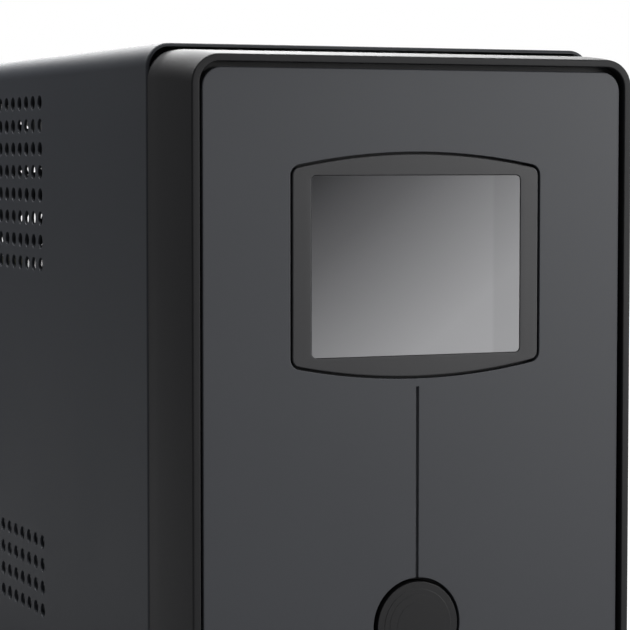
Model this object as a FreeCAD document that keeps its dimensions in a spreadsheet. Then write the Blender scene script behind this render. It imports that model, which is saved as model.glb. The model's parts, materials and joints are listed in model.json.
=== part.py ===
import FreeCAD, Part
import math
import os
from types import SimpleNamespace

import Sketcher
from FreeCAD import Placement, Rotation, Vector

# A free-standing tower uninterruptible power supply, in millimetres.
# X runs to the right, the front faces -Y and Z is up. The origin is under the middle of
# the machine, on the surface that its feet stand on.

doc = FreeCAD.newDocument("TowerPowerSupply")

# Driving dimensions. Each can be changed by itself; everything else is worked out from them.
DIMENSIONS = {
    # casing
    "cover_width": 146,
    "body_height": 200,
    "body_depth": 390,
    "foot_height": 5,
    "rear_stand_out": 7,
    "steel": 1,
    "cover_corner": 7,
    "seam_depth": 30,
    "fit_gap": 0.3,
    "chassis_flange": 14,
    "panel_flange": 10,
    "foot_radius": 9,
    "foot_inset": 28,
    # vent holes in the cover's sides
    "vent_radius": 2.35,
    "vent_pitch": 7.55,
    "vent_start": 133.6,
    "vent_columns": 24,
    "top_vent_drop": 15.1,
    "top_vent_rows": 8,
    "low_vent_height": 45.7,
    "low_vent_rows": 4,
    # front bezel and its rim
    "bezel_side_step": 0.3,
    "bezel_top_step": 2.1,
    "bezel_wall": 3,
    "bezel_band": 6,
    "bezel_lip": 4,
    "bezel_corner": 7.5,
    "rim_draw_side": 2.4,
    "rim_draw_top": 2,
    "rim_corner": 8.5,
    "rim_width": 2.4,
    "rim_width_top": 2.1,
    "tab_width": 16,
    "tab_length": 7,
    # front plate, display bezel and lens
    "plate_gap": 1.1,
    "plate_gap_top": 1.5,
    "plate_recess": 1.2,
    "plate_thickness": 3,
    "plate_round": 0.4,
    "display_drop": 64.35,
    "display_half_width": 39.7,
    "display_side_height": 56.7,
    "display_crown": 4.2,
    "display_corner": 2.5,
    "display_groove": 0.7,
    "screen_width": 67.1,
    "screen_height": 52.4,
    "screen_corner": 1.5,
    "lens_thickness": 1.6,
    "lens_recess": 0.2,
    "lens_ledge": 2.5,
    "module_depth": 7,
    "groove_width": 0.85,
    "groove_depth": 0.8,
    "groove_clear": 2.75,
    # power button and its switch
    "button_height": 35.4,
    "button_radius": 12.8,
    "button_ring": 1.1,
    "button_proud": 0.6,
    "button_flange": 2.4,
    "button_skin": 2,
    "button_travel": 1.5,
    "stem_radius": 1.5,
    "switch_width": 6,
    "switch_depth": 4,
    "plunger_radius": 1.7,
    "plunger_length": 3,
    "spring_radius": 6,
    "spring_wire": 0.35,
    "spring_turns": 5,
    # boards, shelf and screws
    "board_thickness": 1.6,
    "board_stand_off": 9.2,
    "display_board_width": 84,
    "shelf_clear": 6,
    "shelf_front": 14,
    "shelf_length": 266,
    "post_height": 6,
    "post_radius": 3,
    "main_board_length": 240,
    "main_board_width": 124,
    "screw_radius": 1.5,
    "head_radius": 2.9,
    "head_height": 1.6,
    "screw_length": 6,
    # batteries
    "battery_width": 65,
    "battery_length": 151,
    "battery_height": 94,
    "terminal_height": 5,
    # transformer
    "core_width": 96,
    "core_height": 80,
    "core_depth": 50,
    "core_leg": 32,
    "core_yoke": 16,
    "core_behind": 200,
    "bobbin_wall": 1.5,
    # fan
    "fan_size": 80,
    "fan_depth": 25,
    "fan_bore": 38,
    "fan_side": 24,
    "fan_drop": 7,
    "hub_radius": 17,
    "blade_gap": 1.5,
    "shaft_radius": 1.5,
    "shaft_play": 0.05,
    "fan_screw_pitch": 71.5,
    "guard_wire": 0.9,
    # outlets, inlet, breaker and ports
    "socket_pitch_x": 56,
    "socket_pitch_z": 52,
    "socket_base": 31,
    "socket_flange": 48,
    "socket_proud": 2.5,
    "socket_barrel": 22,
    "socket_recess": 19.6,
    "socket_depth": 17.5,
    "socket_floor": 8,
    "pin_spacing": 19,
    "pin_hole": 2.6,
    "clip_width": 5,
    "clip_thickness": 0.8,
    "column_side": 44,
    "inlet_width": 31,
    "inlet_tall": 24.5,
    "cavity_width": 24.8,
    "cavity_tall": 17.4,
    "cavity_depth": 17,
    "inlet_height": 129,
    "breaker_height": 153,
    "breaker_bush": 5,
    "breaker_nut": 7.5,
    "breaker_reset": 3.4,
    "breaker_travel": 3.5,
    "phone_height": 172,
    "phone_width": 32,
    "phone_tall": 15,
    "usb_height": 190,
    "usb_width": 12,
    "usb_tall": 11,
    "port_depth": 15,
}

sheet = doc.addObject("Spreadsheet::Sheet", "Sizes")
for row, (alias, number) in enumerate(DIMENSIONS.items(), start=1):
    sheet.set(f"A{row}", alias)
    sheet.set(f"B{row}", str(number))
    sheet.setAlias(f"B{row}", alias)
doc.recompute()


class Size:
    """A length that carries the sheet formula it is worked out by."""

    def __init__(self, value, text):
        self.value = value
        self.text = text

    def __add__(self, other):
        other = as_size(other)
        return Size(self.value + other.value, f"({self.text} + {other.text})")

    def __sub__(self, other):
        other = as_size(other)
        return Size(self.value - other.value, f"({self.text} - {other.text})")

    def __mul__(self, other):
        other = as_size(other)
        return Size(self.value * other.value, f"({self.text} * {other.text})")

    def __truediv__(self, other):
        other = as_size(other)
        return Size(self.value / other.value, f"({self.text} / {other.text})")

    def __neg__(self):
        return Size(-self.value, f"(0 - {self.text})")

    __radd__ = __add__
    __rmul__ = __mul__

    def __rsub__(self, other):
        return as_size(other) - self


def as_size(number):
    return number if isinstance(number, Size) else Size(number, f"({number})")


def ordered(first, second):
    """The two sizes with the lower one first."""
    return (first, second) if first.value < second.value else (second, first)


def leg_of(hypotenuse, leg):
    """The other short side of a right triangle."""
    value = math.sqrt(hypotenuse.value ** 2 - leg.value ** 2)
    return Size(value, f"sqrt({hypotenuse.text} ^ 2 - {leg.text} ^ 2)")


def long_side(first, second):
    """The hypotenuse over two legs."""
    return Size(math.hypot(first.value, second.value), f"sqrt(({first.text}) ^ 2 + ({second.text}) ^ 2)")


def bind(item, name, length):
    """Ties one property, or one constraint of a sketch, to the sheet."""
    item.setExpression(name, as_size(length).text)


def place(item, x=0, y=0, z=0):
    for axis, length in zip("xyz", (x, y, z)):
        bind(item, f"Placement.Base.{axis}", length)


s = SimpleNamespace(**{alias: Size(number, f"Sizes.{alias}")
                       for alias, number in DIMENSIONS.items()})

# Part primitives and booleans

TURN = {
    "X": Rotation(Vector(0, 1, 0), 90),
    "Y": Rotation(Vector(1, 0, 0), -90),
    "Z": Rotation(),
}
nodes = []
pockets = []


def keep(item, label):
    """Makes one object of the document a sub-part with its own name."""
    item.Label = label
    nodes.append(item)
    return item


def box(name, xs, ys, zs):
    """A block between two values on each axis."""
    item = doc.addObject("Part::Box", name)
    for side, (low, high) in zip(("Length", "Width", "Height"), (xs, ys, zs)):
        bind(item, side, as_size(high) - low)
    place(item, xs[0], ys[0], zs[0])
    return item


def rod(name, axis, radius, start, length):
    """A cylinder that runs from its start point along one axis."""
    item = doc.addObject("Part::Cylinder", name)
    item.Placement = Placement(Vector(), TURN[axis])
    bind(item, "Radius", radius)
    bind(item, "Height", length)
    place(item, *start)
    return item


def ring(name, axis, radius, thickness, centre):
    item = doc.addObject("Part::Torus", name)
    item.Placement = Placement(Vector(), TURN[axis])
    bind(item, "Radius1", radius)
    bind(item, "Radius2", thickness)
    place(item, *centre)
    return item


def fuse(name, pieces):
    item = doc.addObject("Part::MultiFuse", name)
    item.Shapes = pieces
    return item


def cut(name, base, tools):
    item = doc.addObject("Part::Cut", name)
    item.Base = base
    item.Tool = tools[0] if len(tools) == 1 else fuse(name + "_tools", tools)
    return item


def group(name, pieces):
    """Separate solids that share one sub-part."""
    item = doc.addObject("Part::Compound", name)
    item.Links = pieces
    return item


# Sketches and PartDesign features. A plane is named by the axis it faces, so "Y" is the
# XZ plane, whose own normal points to -Y.

PLANES = {"X": ("YZ_Plane", 1), "Y": ("XZ_Plane", -1), "Z": ("XY_Plane", 1)}


def new_body(name):
    return doc.addObject("PartDesign::Body", name)


def origin_part(body, role):
    return next(item for item in body.Origin.OriginFeatures if item.Role == role)


def sketch(body, name, facing, at, origin=(0, 0)):
    role, sense = PLANES[facing]
    item = body.newObject("Sketcher::SketchObject", name)
    item.AttachmentSupport = [(origin_part(body, role), "")]
    item.MapMode = "FlatFace"
    bind(item, "AttachmentOffset.Base.x", origin[0])
    bind(item, "AttachmentOffset.Base.y", origin[1])
    bind(item, "AttachmentOffset.Base.z", as_size(at) * sense)
    return item


def limit(sk, kind, *args):
    """Adds a dimension to a sketch and ties it to the sheet."""
    *where, length = args
    index = sk.addConstraint(Sketcher.Constraint(kind, *where, as_size(length).value))
    bind(sk, f"Constraints[{index}]", length)


def circle(sk, x, y, radius):
    centre = Vector(as_size(x).value, as_size(y).value)
    index = sk.addGeometry(Part.Circle(centre, Vector(0, 0, 1), as_size(radius).value))
    limit(sk, "Radius", index, radius)
    limit(sk, "DistanceX", -1, 1, index, 3, x)
    limit(sk, "DistanceY", -1, 1, index, 3, y)


def toward(start, end, length):
    step = end - start
    return start + step * (length / step.Length)


def outline(sk, corners):
    """A closed outline of level and upright sides. Each corner is (x, y, radius)."""
    points = [Vector(as_size(x).value, as_size(y).value) for x, y, _ in corners]
    radii = [as_size(radius).value for _, _, radius in corners]
    count = len(corners)
    sides = []
    for i in range(count):
        j = (i + 1) % count
        start = toward(points[i], points[j], radii[i])
        end = toward(points[j], points[i], radii[j])
        sides.append(sk.addGeometry(Part.LineSegment(start, end)))
    for i in range(count):
        j = (i + 1) % count
        level = abs(points[i].y - points[j].y) < abs(points[i].x - points[j].x)
        sk.addConstraint(Sketcher.Constraint("Horizontal" if level else "Vertical", sides[i]))
        if level:
            limit(sk, "DistanceY", -1, 1, sides[i], 1, corners[i][1])
        else:
            limit(sk, "DistanceX", -1, 1, sides[i], 1, corners[i][0])
    for i in range(count):
        before = sides[i - 1]
        after = sides[i]
        if radii[i] == 0:
            sk.addConstraint(Sketcher.Constraint("Coincident", before, 2, after, 1))
            continue
        start = toward(points[i], points[i - 1], radii[i])
        end = toward(points[i], points[(i + 1) % count], radii[i])
        middle = points[i] + (start + end - points[i] * 2) * (1 - math.sqrt(0.5))
        arc = sk.addGeometry(Part.Arc(start, middle, end))
        first, last = (1, 2) if (sk.getPoint(arc, 1) - start).Length < 1e-6 else (2, 1)
        sk.addConstraint(Sketcher.Constraint("Tangent", before, 2, arc, first))
        sk.addConstraint(Sketcher.Constraint("Tangent", arc, last, after, 1))
        limit(sk, "Radius", arc, corners[i][2])


def rectangle(sk, xs, ys, radius=0):
    outline(sk, [(xs[0], ys[0], radius), (xs[1], ys[0], radius),
                 (xs[1], ys[1], radius), (xs[0], ys[1], radius)])


def polygon(sk, points):
    """A closed outline of straight sides at any angle."""
    spots = [Vector(as_size(x).value, as_size(y).value) for x, y in points]
    sides = [sk.addGeometry(Part.LineSegment(spots[i], spots[(i + 1) % len(spots)]))
             for i in range(len(spots))]
    for i, side in enumerate(sides):
        sk.addConstraint(Sketcher.Constraint("Coincident", side, 2, sides[(i + 1) % len(sides)], 1))
        limit(sk, "DistanceX", -1, 1, side, 1, points[i][0])
        limit(sk, "DistanceY", -1, 1, side, 1, points[i][1])


def pad(body, sk, facing, length, onward=True):
    """Adds material from the sketch, onward along the named axis or back against it."""
    item = body.newObject("PartDesign::Pad", sk.Name + "_pad")
    item.Profile = sk
    bind(item, "Length", length)
    item.Reversed = (PLANES[facing][1] > 0) != onward
    return item


def pocket(body, sk, facing, length, onward=True):
    """Takes material away from the sketch, onward along the named axis or back."""
    item = body.newObject("PartDesign::Pocket", sk.Name + "_pocket")
    item.Profile = sk
    bind(item, "Length", length)
    item.Reversed = (PLANES[facing][1] > 0) == onward
    pockets.append(item)
    return item


def cut_across(body, sk):
    """Cuts the sketch through everything on both sides of its plane."""
    item = body.newObject("PartDesign::Pocket", sk.Name + "_through")
    item.Profile = sk
    item.Type = "ThroughAll"
    item.Midplane = True
    pockets.append(item)
    return item


def linear_row(body, feature, name, axis, pitch, count):
    """Repeats a feature at an even pitch along one axis."""
    item = body.newObject("PartDesign::LinearPattern", name)
    item.Originals = [feature]
    item.Direction = (origin_part(body, axis + "_Axis"), [""])
    item.Mode = "Spacing"
    bind(item, "Offset", pitch)
    bind(item, "Occurrences", count)
    body.Tip = item
    return item


def polar(body, feature, name, axis, count):
    item = body.newObject("PartDesign::PolarPattern", name)
    item.Originals = [feature]
    item.Axis = (origin_part(body, axis + "_Axis"), [""])
    item.Angle = 360
    item.Occurrences = count
    body.Tip = item
    return item


def edges(shape, test):
    """The names of the edges whose two ends and middle all pass a test."""
    found = []
    for number, edge in enumerate(shape.Edges, start=1):
        middle = edge.valueAt((edge.FirstParameter + edge.LastParameter) / 2)
        if all(test(point) for point in [middle, *(v.Point for v in edge.Vertexes)]):
            found.append(f"Edge{number}")
    return found


def fillet(body, name, radius, test):
    doc.recompute()
    base = body.Tip
    item = body.newObject("PartDesign::Fillet", name)
    item.Base = (base, edges(base.Shape, test))
    bind(item, "Radius", radius)
    return item


def near(number, length, slack=0.01):
    return abs(number - as_size(length).value) < slack


# Places that several pieces share

half_width = s.cover_width / 2
inner_half = half_width - s.steel
chassis_bottom = s.foot_height
cover_top = s.foot_height + s.body_height
floor_top = chassis_bottom + s.steel
rim_front = -(s.body_depth + s.rear_stand_out) / 2
rear_face = rim_front + s.body_depth
rear_inside = rear_face - s.steel
rear_limit = rear_face + s.rear_stand_out
seam = rim_front + s.seam_depth

bezel_half = half_width - s.bezel_side_step
bezel_top = cover_top - s.bezel_top_step
bezel_bottom = chassis_bottom + s.bezel_side_step
lip_half = inner_half - s.fit_gap / 3
lip_bottom = floor_top + s.fit_gap / 3
rim_half = bezel_half - s.rim_draw_side
rim_top = bezel_top - s.rim_draw_top
rim_bottom = bezel_bottom + s.rim_draw_top
recess_half = rim_half - s.rim_width
recess_top = rim_top - s.rim_width_top
recess_bottom = rim_bottom + s.rim_width
plate_front = rim_front + s.plate_recess
plate_back = plate_front + s.plate_thickness
bezel_floor_back = plate_back + s.bezel_wall
partition_front = seam + s.bezel_lip + s.fit_gap
partition_back = partition_front + s.steel

display_centre = cover_top - s.display_drop
button_hole = s.button_radius + s.button_ring
button_front = plate_front - s.button_proud
board_front = bezel_floor_back + s.board_stand_off
board_back = board_front + s.board_thickness

battery_top = floor_top + s.battery_height
shelf_bottom = battery_top + s.terminal_height + s.shelf_clear
shelf_top = shelf_bottom + s.steel
main_board_bottom = shelf_top + s.post_height
main_board_top = main_board_bottom + s.board_thickness
shelf_start = partition_back + s.shelf_front
shelf_end = shelf_start + s.shelf_length
leg_half = inner_half - s.steel - s.fit_gap * 4

battery_start = partition_back + s.panel_flange + s.fit_gap * 4
battery_end = battery_start + s.battery_length
tab_front = battery_end - s.panel_flange
tab_back = tab_front + s.clip_thickness
tab_outer = s.fit_gap * 2 + s.battery_width * 0.75
tab_inner = s.fit_gap * 2 + s.battery_width * 0.25
lead_rise = tab_back + s.foot_inset
lead_end = lead_rise + s.foot_inset
display_cable_x = s.display_board_width / 4

fan_x = -s.fan_side
fan_z = cover_top - s.steel - s.fan_drop - s.fan_size / 2
fan_back = rear_inside - s.fan_depth


def cover_shell():
    """The folded steel cover: a top and two sides, with rows of punched vent holes."""
    body = new_body("cover")
    profile = sketch(body, "cover_profile", "Y", seam)
    inner_corner = s.cover_corner - s.steel
    outline(profile, [
        (-half_width, chassis_bottom, 0),
        (-half_width, cover_top, s.cover_corner),
        (half_width, cover_top, s.cover_corner),
        (half_width, chassis_bottom, 0),
        (inner_half, chassis_bottom, 0),
        (inner_half, cover_top - s.steel, inner_corner),
        (-inner_half, cover_top - s.steel, inner_corner),
        (-inner_half, chassis_bottom, 0),
    ])
    pad(body, profile, "Y", rear_face - seam)
    first_column = rim_front + s.vent_start
    rows = (
        ("top_vent", cover_top - s.top_vent_drop, s.top_vent_rows),
        ("low_vent", s.low_vent_height, s.low_vent_rows),
    )
    for name, height, count in rows:
        column = sketch(body, name, "X", 0)
        for row in range(int(count.value)):
            circle(column, first_column, height - s.vent_pitch * row, s.vent_radius)
        vent = cut_across(body, column)
        linear_row(body, vent, name + "_row", "Y", s.vent_pitch, s.vent_columns)
    for index, (y, z) in enumerate(cover_screw_spots()):
        hole = sketch(body, f"cover_screw_hole_{index}", "X", 0)
        circle(hole, y, z, s.screw_radius + s.fit_gap)
        cut_across(body, hole)
    return keep(body, "cover_shell")


def cover_screw_spots():
    """Where screws hold the cover to the chassis and to the rear panel, as (y, z)."""
    low = chassis_bottom + s.chassis_flange / 2
    far = rear_face - s.panel_flange / 2
    return [(seam + s.foot_inset, low), (shelf_end, low),
            (far, s.low_vent_height), (far, cover_top - s.top_vent_drop)]


def base_chassis():
    """The floor tray with an upturned flange along each side."""
    body = new_body("chassis")
    edge = inner_half - s.fit_gap / 3
    profile = sketch(body, "chassis_profile", "Y", partition_front)
    flange_top = chassis_bottom + s.chassis_flange
    outline(profile, [
        (-edge, chassis_bottom, 0), (edge, chassis_bottom, 0),
        (edge, flange_top, 0), (edge - s.steel, flange_top, 0),
        (edge - s.steel, floor_top, 0), (s.steel - edge, floor_top, 0),
        (s.steel - edge, flange_top, 0), (-edge, flange_top, 0),
    ])
    pad(body, profile, "Y", rear_inside - partition_front)
    for index, (y, z) in enumerate(cover_screw_spots()[:2]):
        hole = sketch(body, f"chassis_screw_hole_{index}", "X", 0)
        circle(hole, y, z, s.screw_radius)
        cut_across(body, hole)
    for index, (x, y) in enumerate(foot_spots()):
        hole = sketch(body, f"chassis_foot_hole_{index}", "Z", chassis_bottom)
        circle(hole, x, y, s.foot_radius / 3)
        pocket(body, hole, "Z", s.steel)
    return keep(body, "base_chassis")


def foot_spots():
    side = half_width - s.foot_inset / 1.4
    return [(x, y) for x in (-side, side) for y in (seam + s.foot_inset, rear_inside - s.foot_inset)]


def rubber_feet():
    """Four round feet, each with a plug that fits a hole in the floor."""
    feet = []
    for index, (x, y) in enumerate(foot_spots()):
        cushion = doc.addObject("Part::Cone", f"foot_pad_{index}")
        bind(cushion, "Radius1", s.foot_radius - s.fit_gap * 3)
        bind(cushion, "Radius2", s.foot_radius)
        bind(cushion, "Height", s.foot_height)
        place(cushion, x, y, 0)
        plug = rod(f"foot_plug_{index}", "Z", s.foot_radius / 3 - s.fit_gap / 3, (x, y, 0), floor_top)
        feet.append(fuse(f"foot_{index}", [cushion, plug]))
    return keep(group("feet", feet), "rubber_feet")


def rear_panel():
    """The flat rear sheet with its cut-outs and two folded side flanges."""
    body = new_body("rear")
    edge = inner_half - s.fit_gap / 3
    low = floor_top + s.fit_gap / 3
    high = cover_top - s.steel - s.fit_gap / 3
    corner = s.cover_corner - s.steel
    face = sketch(body, "rear_face", "Y", rear_inside)
    outline(face, [(-edge, low, 0), (edge, low, 0), (edge, high, corner), (-edge, high, corner)])
    pad(body, face, "Y", s.steel)
    inner_edge = edge - s.steel - s.fit_gap / 3
    for name, side in (("left", -1), ("right", 1)):
        fold = sketch(body, f"rear_flange_{name}", "Y", rear_inside)
        xs = (inner_edge * side, (inner_edge - s.steel) * side)
        rectangle(fold, (xs[0], xs[1]) if side < 0 else (xs[1], xs[0]),
                  (floor_top + s.chassis_flange, high - s.cover_corner))
        pad(body, fold, "Y", s.panel_flange, onward=False)
    openings = sketch(body, "rear_round_openings", "Y", rear_inside)
    circle(openings, fan_x, fan_z, s.fan_bore)
    for dx in (-1, 1):
        for dz in (-1, 1):
            circle(openings, fan_x + s.fan_screw_pitch / 2 * dx, fan_z + s.fan_screw_pitch / 2 * dz,
                   s.screw_radius + s.fit_gap)
    for x, z in socket_spots():
        circle(openings, x, z, s.socket_barrel + s.fit_gap)
    circle(openings, s.column_side, s.breaker_height, s.breaker_bush + s.fit_gap)
    pocket(body, openings, "Y", s.steel)
    for name, spot, width, tall in (
            ("inlet", s.inlet_height, s.cavity_width + 2.4, s.cavity_tall + 2.4),
            ("phone", s.phone_height, s.phone_width, s.phone_tall),
            ("usb", s.usb_height, s.usb_width, s.usb_tall)):
        hole = sketch(body, f"rear_opening_{name}", "Y", rear_inside)
        reach = width / 2 + s.fit_gap
        rise = tall / 2 + s.fit_gap
        rectangle(hole, (s.column_side - reach, s.column_side + reach), (spot - rise, spot + rise))
        pocket(body, hole, "Y", s.steel)
    for index, (y, z) in enumerate(cover_screw_spots()[2:]):
        hole = sketch(body, f"rear_screw_hole_{index}", "X", 0)
        circle(hole, y, z, s.screw_radius)
        cut_across(body, hole)
    return keep(body, "rear_panel")


def cover_screws():
    """Pan-head screws that join the cover to the chassis flanges and the rear panel."""
    screws = []
    grip = s.steel * 2 + s.fit_gap
    for index, (y, z) in enumerate(cover_screw_spots()):
        for side in (-1, 1):
            name = f"cover_screw_{index}_{'left' if side < 0 else 'right'}"
            head_start = half_width if side > 0 else -half_width - s.head_height
            shank_start = half_width - grip if side > 0 else -half_width
            head = rod(name + "_head", "X", s.head_radius, (head_start, y, z), s.head_height)
            shank = rod(name + "_shank", "X", s.screw_radius, (shank_start, y, z), grip)
            screws.append(fuse(name, [head, shank]))
    return keep(group("cover_screw_set", screws), "cover_screws")


def front_bezel():
    """The moulded front frame: a flat band at the seam, tapering softly to a thin rim."""
    body = new_body("bezel")
    lip_end = seam + s.bezel_lip
    lip = sketch(body, "bezel_lip_outline", "Y", lip_end)
    rectangle(lip, (-lip_half, lip_half), (lip_bottom, bezel_top), s.bezel_corner)
    pad(body, lip, "Y", s.bezel_lip + s.bezel_band / 2, onward=False)
    band = sketch(body, "bezel_band_outline", "Y", seam - s.fit_gap)
    rectangle(band, (-bezel_half, bezel_half), (bezel_bottom, bezel_top), s.bezel_corner)
    pad(body, band, "Y", s.bezel_band - s.fit_gap, onward=False)
    taper_start = seam - s.bezel_band
    taper_length = taper_start - rim_front
    sections = []
    # the sides draw in slowly behind and faster towards the rim
    for index, (along, drawn) in enumerate(((0, 0), (0.5, 0.36), (1, 1))):
        section = sketch(body, f"bezel_section_{index}", "Y", taper_start - taper_length * along)
        half = bezel_half - s.rim_draw_side * drawn
        rectangle(section, (-half, half),
                  (bezel_bottom + s.rim_draw_top * drawn, bezel_top - s.rim_draw_top * drawn),
                  s.bezel_corner + (s.rim_corner - s.bezel_corner) * drawn)
        sections.append(section)
    loft = body.newObject("PartDesign::AdditiveLoft", "bezel_taper")
    loft.Profile = sections[0]
    loft.Sections = sections[1:]
    hollow = sketch(body, "bezel_hollow", "Y", lip_end)
    rectangle(hollow, (s.bezel_wall - bezel_half, bezel_half - s.bezel_wall),
              (bezel_bottom + s.bezel_wall, bezel_top - s.bezel_wall), s.bezel_corner - s.bezel_wall)
    pocket(body, hollow, "Y", lip_end - bezel_floor_back, onward=False)
    recess = sketch(body, "bezel_recess", "Y", rim_front)
    rectangle(recess, (-recess_half, recess_half), (recess_bottom, recess_top),
              s.rim_corner - s.rim_width)
    pocket(body, recess, "Y", plate_back - rim_front)
    window = sketch(body, "bezel_window", "Y", plate_back)
    reach = s.screen_width / 2 - s.lens_ledge
    rise = s.screen_height / 2 - s.lens_ledge
    rectangle(window, (-reach, reach), (display_centre - rise, display_centre + rise))
    circle(window, 0, s.button_height, s.button_radius + s.fit_gap)
    pocket(body, window, "Y", s.bezel_wall)
    bosses = sketch(body, "bezel_bosses", "Y", bezel_floor_back)
    for x, z in display_board_spots():
        circle(bosses, x, z, s.post_radius)
    pad(body, bosses, "Y", s.board_stand_off)
    boss_holes = sketch(body, "bezel_boss_holes", "Y", board_front)
    for x, z in display_board_spots():
        circle(boss_holes, x, z, s.screw_radius)
    pocket(body, boss_holes, "Y", s.screw_length, onward=False)
    tabs = sketch(body, "bezel_tabs", "Y", lip_end)
    tab_outer = bezel_half - s.bezel_wall
    for side in (-1, 1):
        for low in (floor_top + s.chassis_flange * 2, bezel_top - s.bezel_corner * 4 - s.tab_width):
            ends = ordered(tab_outer * side, (tab_outer + s.steel) * side)
            rectangle(tabs, ends, (low, low + s.tab_width))
    pad(body, tabs, "Y", s.tab_length)
    return keep(body, "front_bezel")


def display_board_spots():
    """Where the display board is screwed to the bezel, as (x, z)."""
    side = s.display_board_width / 2 - s.post_radius * 1.5
    low = s.button_height - s.button_radius - s.post_radius * 1.5
    high = display_centre + s.display_side_height / 2 + s.display_crown + s.post_radius
    return [(x, z) for x in (-side, side) for z in (low, high)]


def barrel_outline(body, name, at, margin):
    """Upright sides joined by an arched top and bottom, grown outwards by the margin."""
    sk = sketch(body, name, "Y", at, origin=(0, display_centre))
    half = s.display_half_width + margin
    side = s.display_side_height / 2 + margin
    crown = s.display_side_height / 2 + s.display_crown + margin
    left = sk.addGeometry(Part.LineSegment(Vector(-half.value, side.value),
                                           Vector(-half.value, -side.value)))
    right = sk.addGeometry(Part.LineSegment(Vector(half.value, -side.value),
                                            Vector(half.value, side.value)))
    arcs = []
    for sense in (1, -1):
        arcs.append(sk.addGeometry(Part.Arc(Vector(-half.value, side.value * sense),
                                            Vector(0, crown.value * sense),
                                            Vector(half.value, side.value * sense))))
    bulge = crown - side
    radius = (half * half + bulge * bulge) / (bulge * 2)
    for arc, sense in zip(arcs, (1, -1)):
        ends = {1: sk.getPoint(arc, 1), 2: sk.getPoint(arc, 2)}
        first, last = (1, 2) if ends[1].x < ends[2].x else (2, 1)
        sk.addConstraint(Sketcher.Constraint("Coincident", arc, first, left, 1 if sense > 0 else 2))
        sk.addConstraint(Sketcher.Constraint("Coincident", arc, last, right, 2 if sense > 0 else 1))
        limit(sk, "Radius", arc, radius)
    for line, x, first in ((left, -half, side), (right, half, -side)):
        sk.addConstraint(Sketcher.Constraint("Vertical", line))
        limit(sk, "DistanceX", -1, 1, line, 1, x)
        limit(sk, "DistanceY", -1, 1, line, 1, first)
        limit(sk, "DistanceY", -1, 1, line, 2, -first)
    return sk


def at_barrel_corner(margin):
    half = s.display_half_width + margin
    side = s.display_side_height / 2 + margin

    def test(point):
        return near(abs(point.x), half) and near(abs(point.z - display_centre.value), side)
    return test


def front_plate():
    """The flat plate in the bezel's rim, with a display opening and a centre groove."""
    body = new_body("plate")
    blank = sketch(body, "plate_outline", "Y", plate_front)
    half = recess_half - s.plate_gap
    low = recess_bottom + s.plate_gap
    high = recess_top - s.plate_gap_top
    rectangle(blank, (-half, half), (low, high), s.rim_corner - s.rim_width - s.fit_gap)
    pad(body, blank, "Y", s.plate_thickness)
    fillet(body, "plate_edge", s.plate_round, lambda point: near(point.y, plate_front))
    margin = s.display_groove / 2
    opening = barrel_outline(body, "plate_opening", plate_front, margin)
    pocket(body, opening, "Y", s.plate_thickness)
    fillet(body, "plate_opening_corner", s.display_corner, at_barrel_corner(margin))
    hole = sketch(body, "plate_button_hole", "Y", plate_front)
    circle(hole, 0, s.button_height, button_hole)
    pocket(body, hole, "Y", s.plate_thickness)
    line = sketch(body, "plate_groove", "Y", plate_front)
    groove_top = display_centre - s.display_side_height / 2 - s.display_crown - s.groove_clear
    rectangle(line, (-s.groove_width / 2, s.groove_width / 2),
              (s.button_height + s.button_radius, groove_top))
    pocket(body, line, "Y", s.groove_depth)
    return keep(body, "front_plate")


def lcd_bezel():
    """The barrel-shaped frame round the screen, parted from the plate by a thin groove."""
    body = new_body("display_frame")
    margin = -s.display_groove / 2
    blank = barrel_outline(body, "display_frame_outline", plate_front, margin)
    pad(body, blank, "Y", s.plate_thickness)
    fillet(body, "display_frame_corner", s.display_corner - s.display_groove, at_barrel_corner(margin))
    seat = sketch(body, "display_frame_seat", "Y", plate_front, origin=(0, display_centre))
    reach = s.screen_width / 2
    rise = s.screen_height / 2
    rectangle(seat, (-reach, reach), (-rise, rise), s.screen_corner)
    pocket(body, seat, "Y", s.lens_recess + s.lens_thickness)
    through = sketch(body, "display_frame_window", "Y", plate_front, origin=(0, display_centre))
    rectangle(through, (s.lens_ledge - reach, reach - s.lens_ledge),
              (s.lens_ledge - rise, rise - s.lens_ledge))
    pocket(body, through, "Y", s.plate_thickness)
    return keep(body, "lcd_bezel")


def lcd_lens():
    """The clear window that covers the screen."""
    body = new_body("lens")
    gap = s.fit_gap / 3
    face = sketch(body, "lens_outline", "Y", plate_front + s.lens_recess, origin=(0, display_centre))
    reach = s.screen_width / 2 - gap
    rise = s.screen_height / 2 - gap
    rectangle(face, (-reach, reach), (-rise, rise), s.screen_corner - gap)
    pad(body, face, "Y", s.lens_thickness)
    return keep(body, "lcd_lens")


def lcd_module():
    """The display's carrier: a tray that stands between the bezel's floor and the board."""
    reach = s.screen_width / 2 + s.post_radius
    rise = s.screen_height / 2 + s.post_radius / 2
    back = board_front - s.fit_gap
    tray = box("module_block", (-reach, reach), (bezel_floor_back, back),
               (display_centre - rise, display_centre + rise))
    inner = reach - s.lens_ledge * 2
    glass_rise = rise - s.lens_ledge
    hollow = box("module_hollow", (-inner, inner),
                 (bezel_floor_back, bezel_floor_back + s.module_depth / 2),
                 (display_centre - glass_rise, display_centre + glass_rise))
    return keep(cut("module", tray, [hollow]), "lcd_module")


def lcd_glass():
    """The liquid-crystal glass, close behind the lens."""
    reach = s.screen_width / 2 - s.lens_ledge - s.fit_gap
    rise = s.screen_height / 2 - s.lens_ledge - s.fit_gap
    front = plate_front + s.lens_recess + s.lens_thickness + s.fit_gap
    return keep(box("glass", (-reach, reach), (front, bezel_floor_back + s.module_depth / 2),
                    (display_centre - rise, display_centre + rise)), "lcd_glass")


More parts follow.
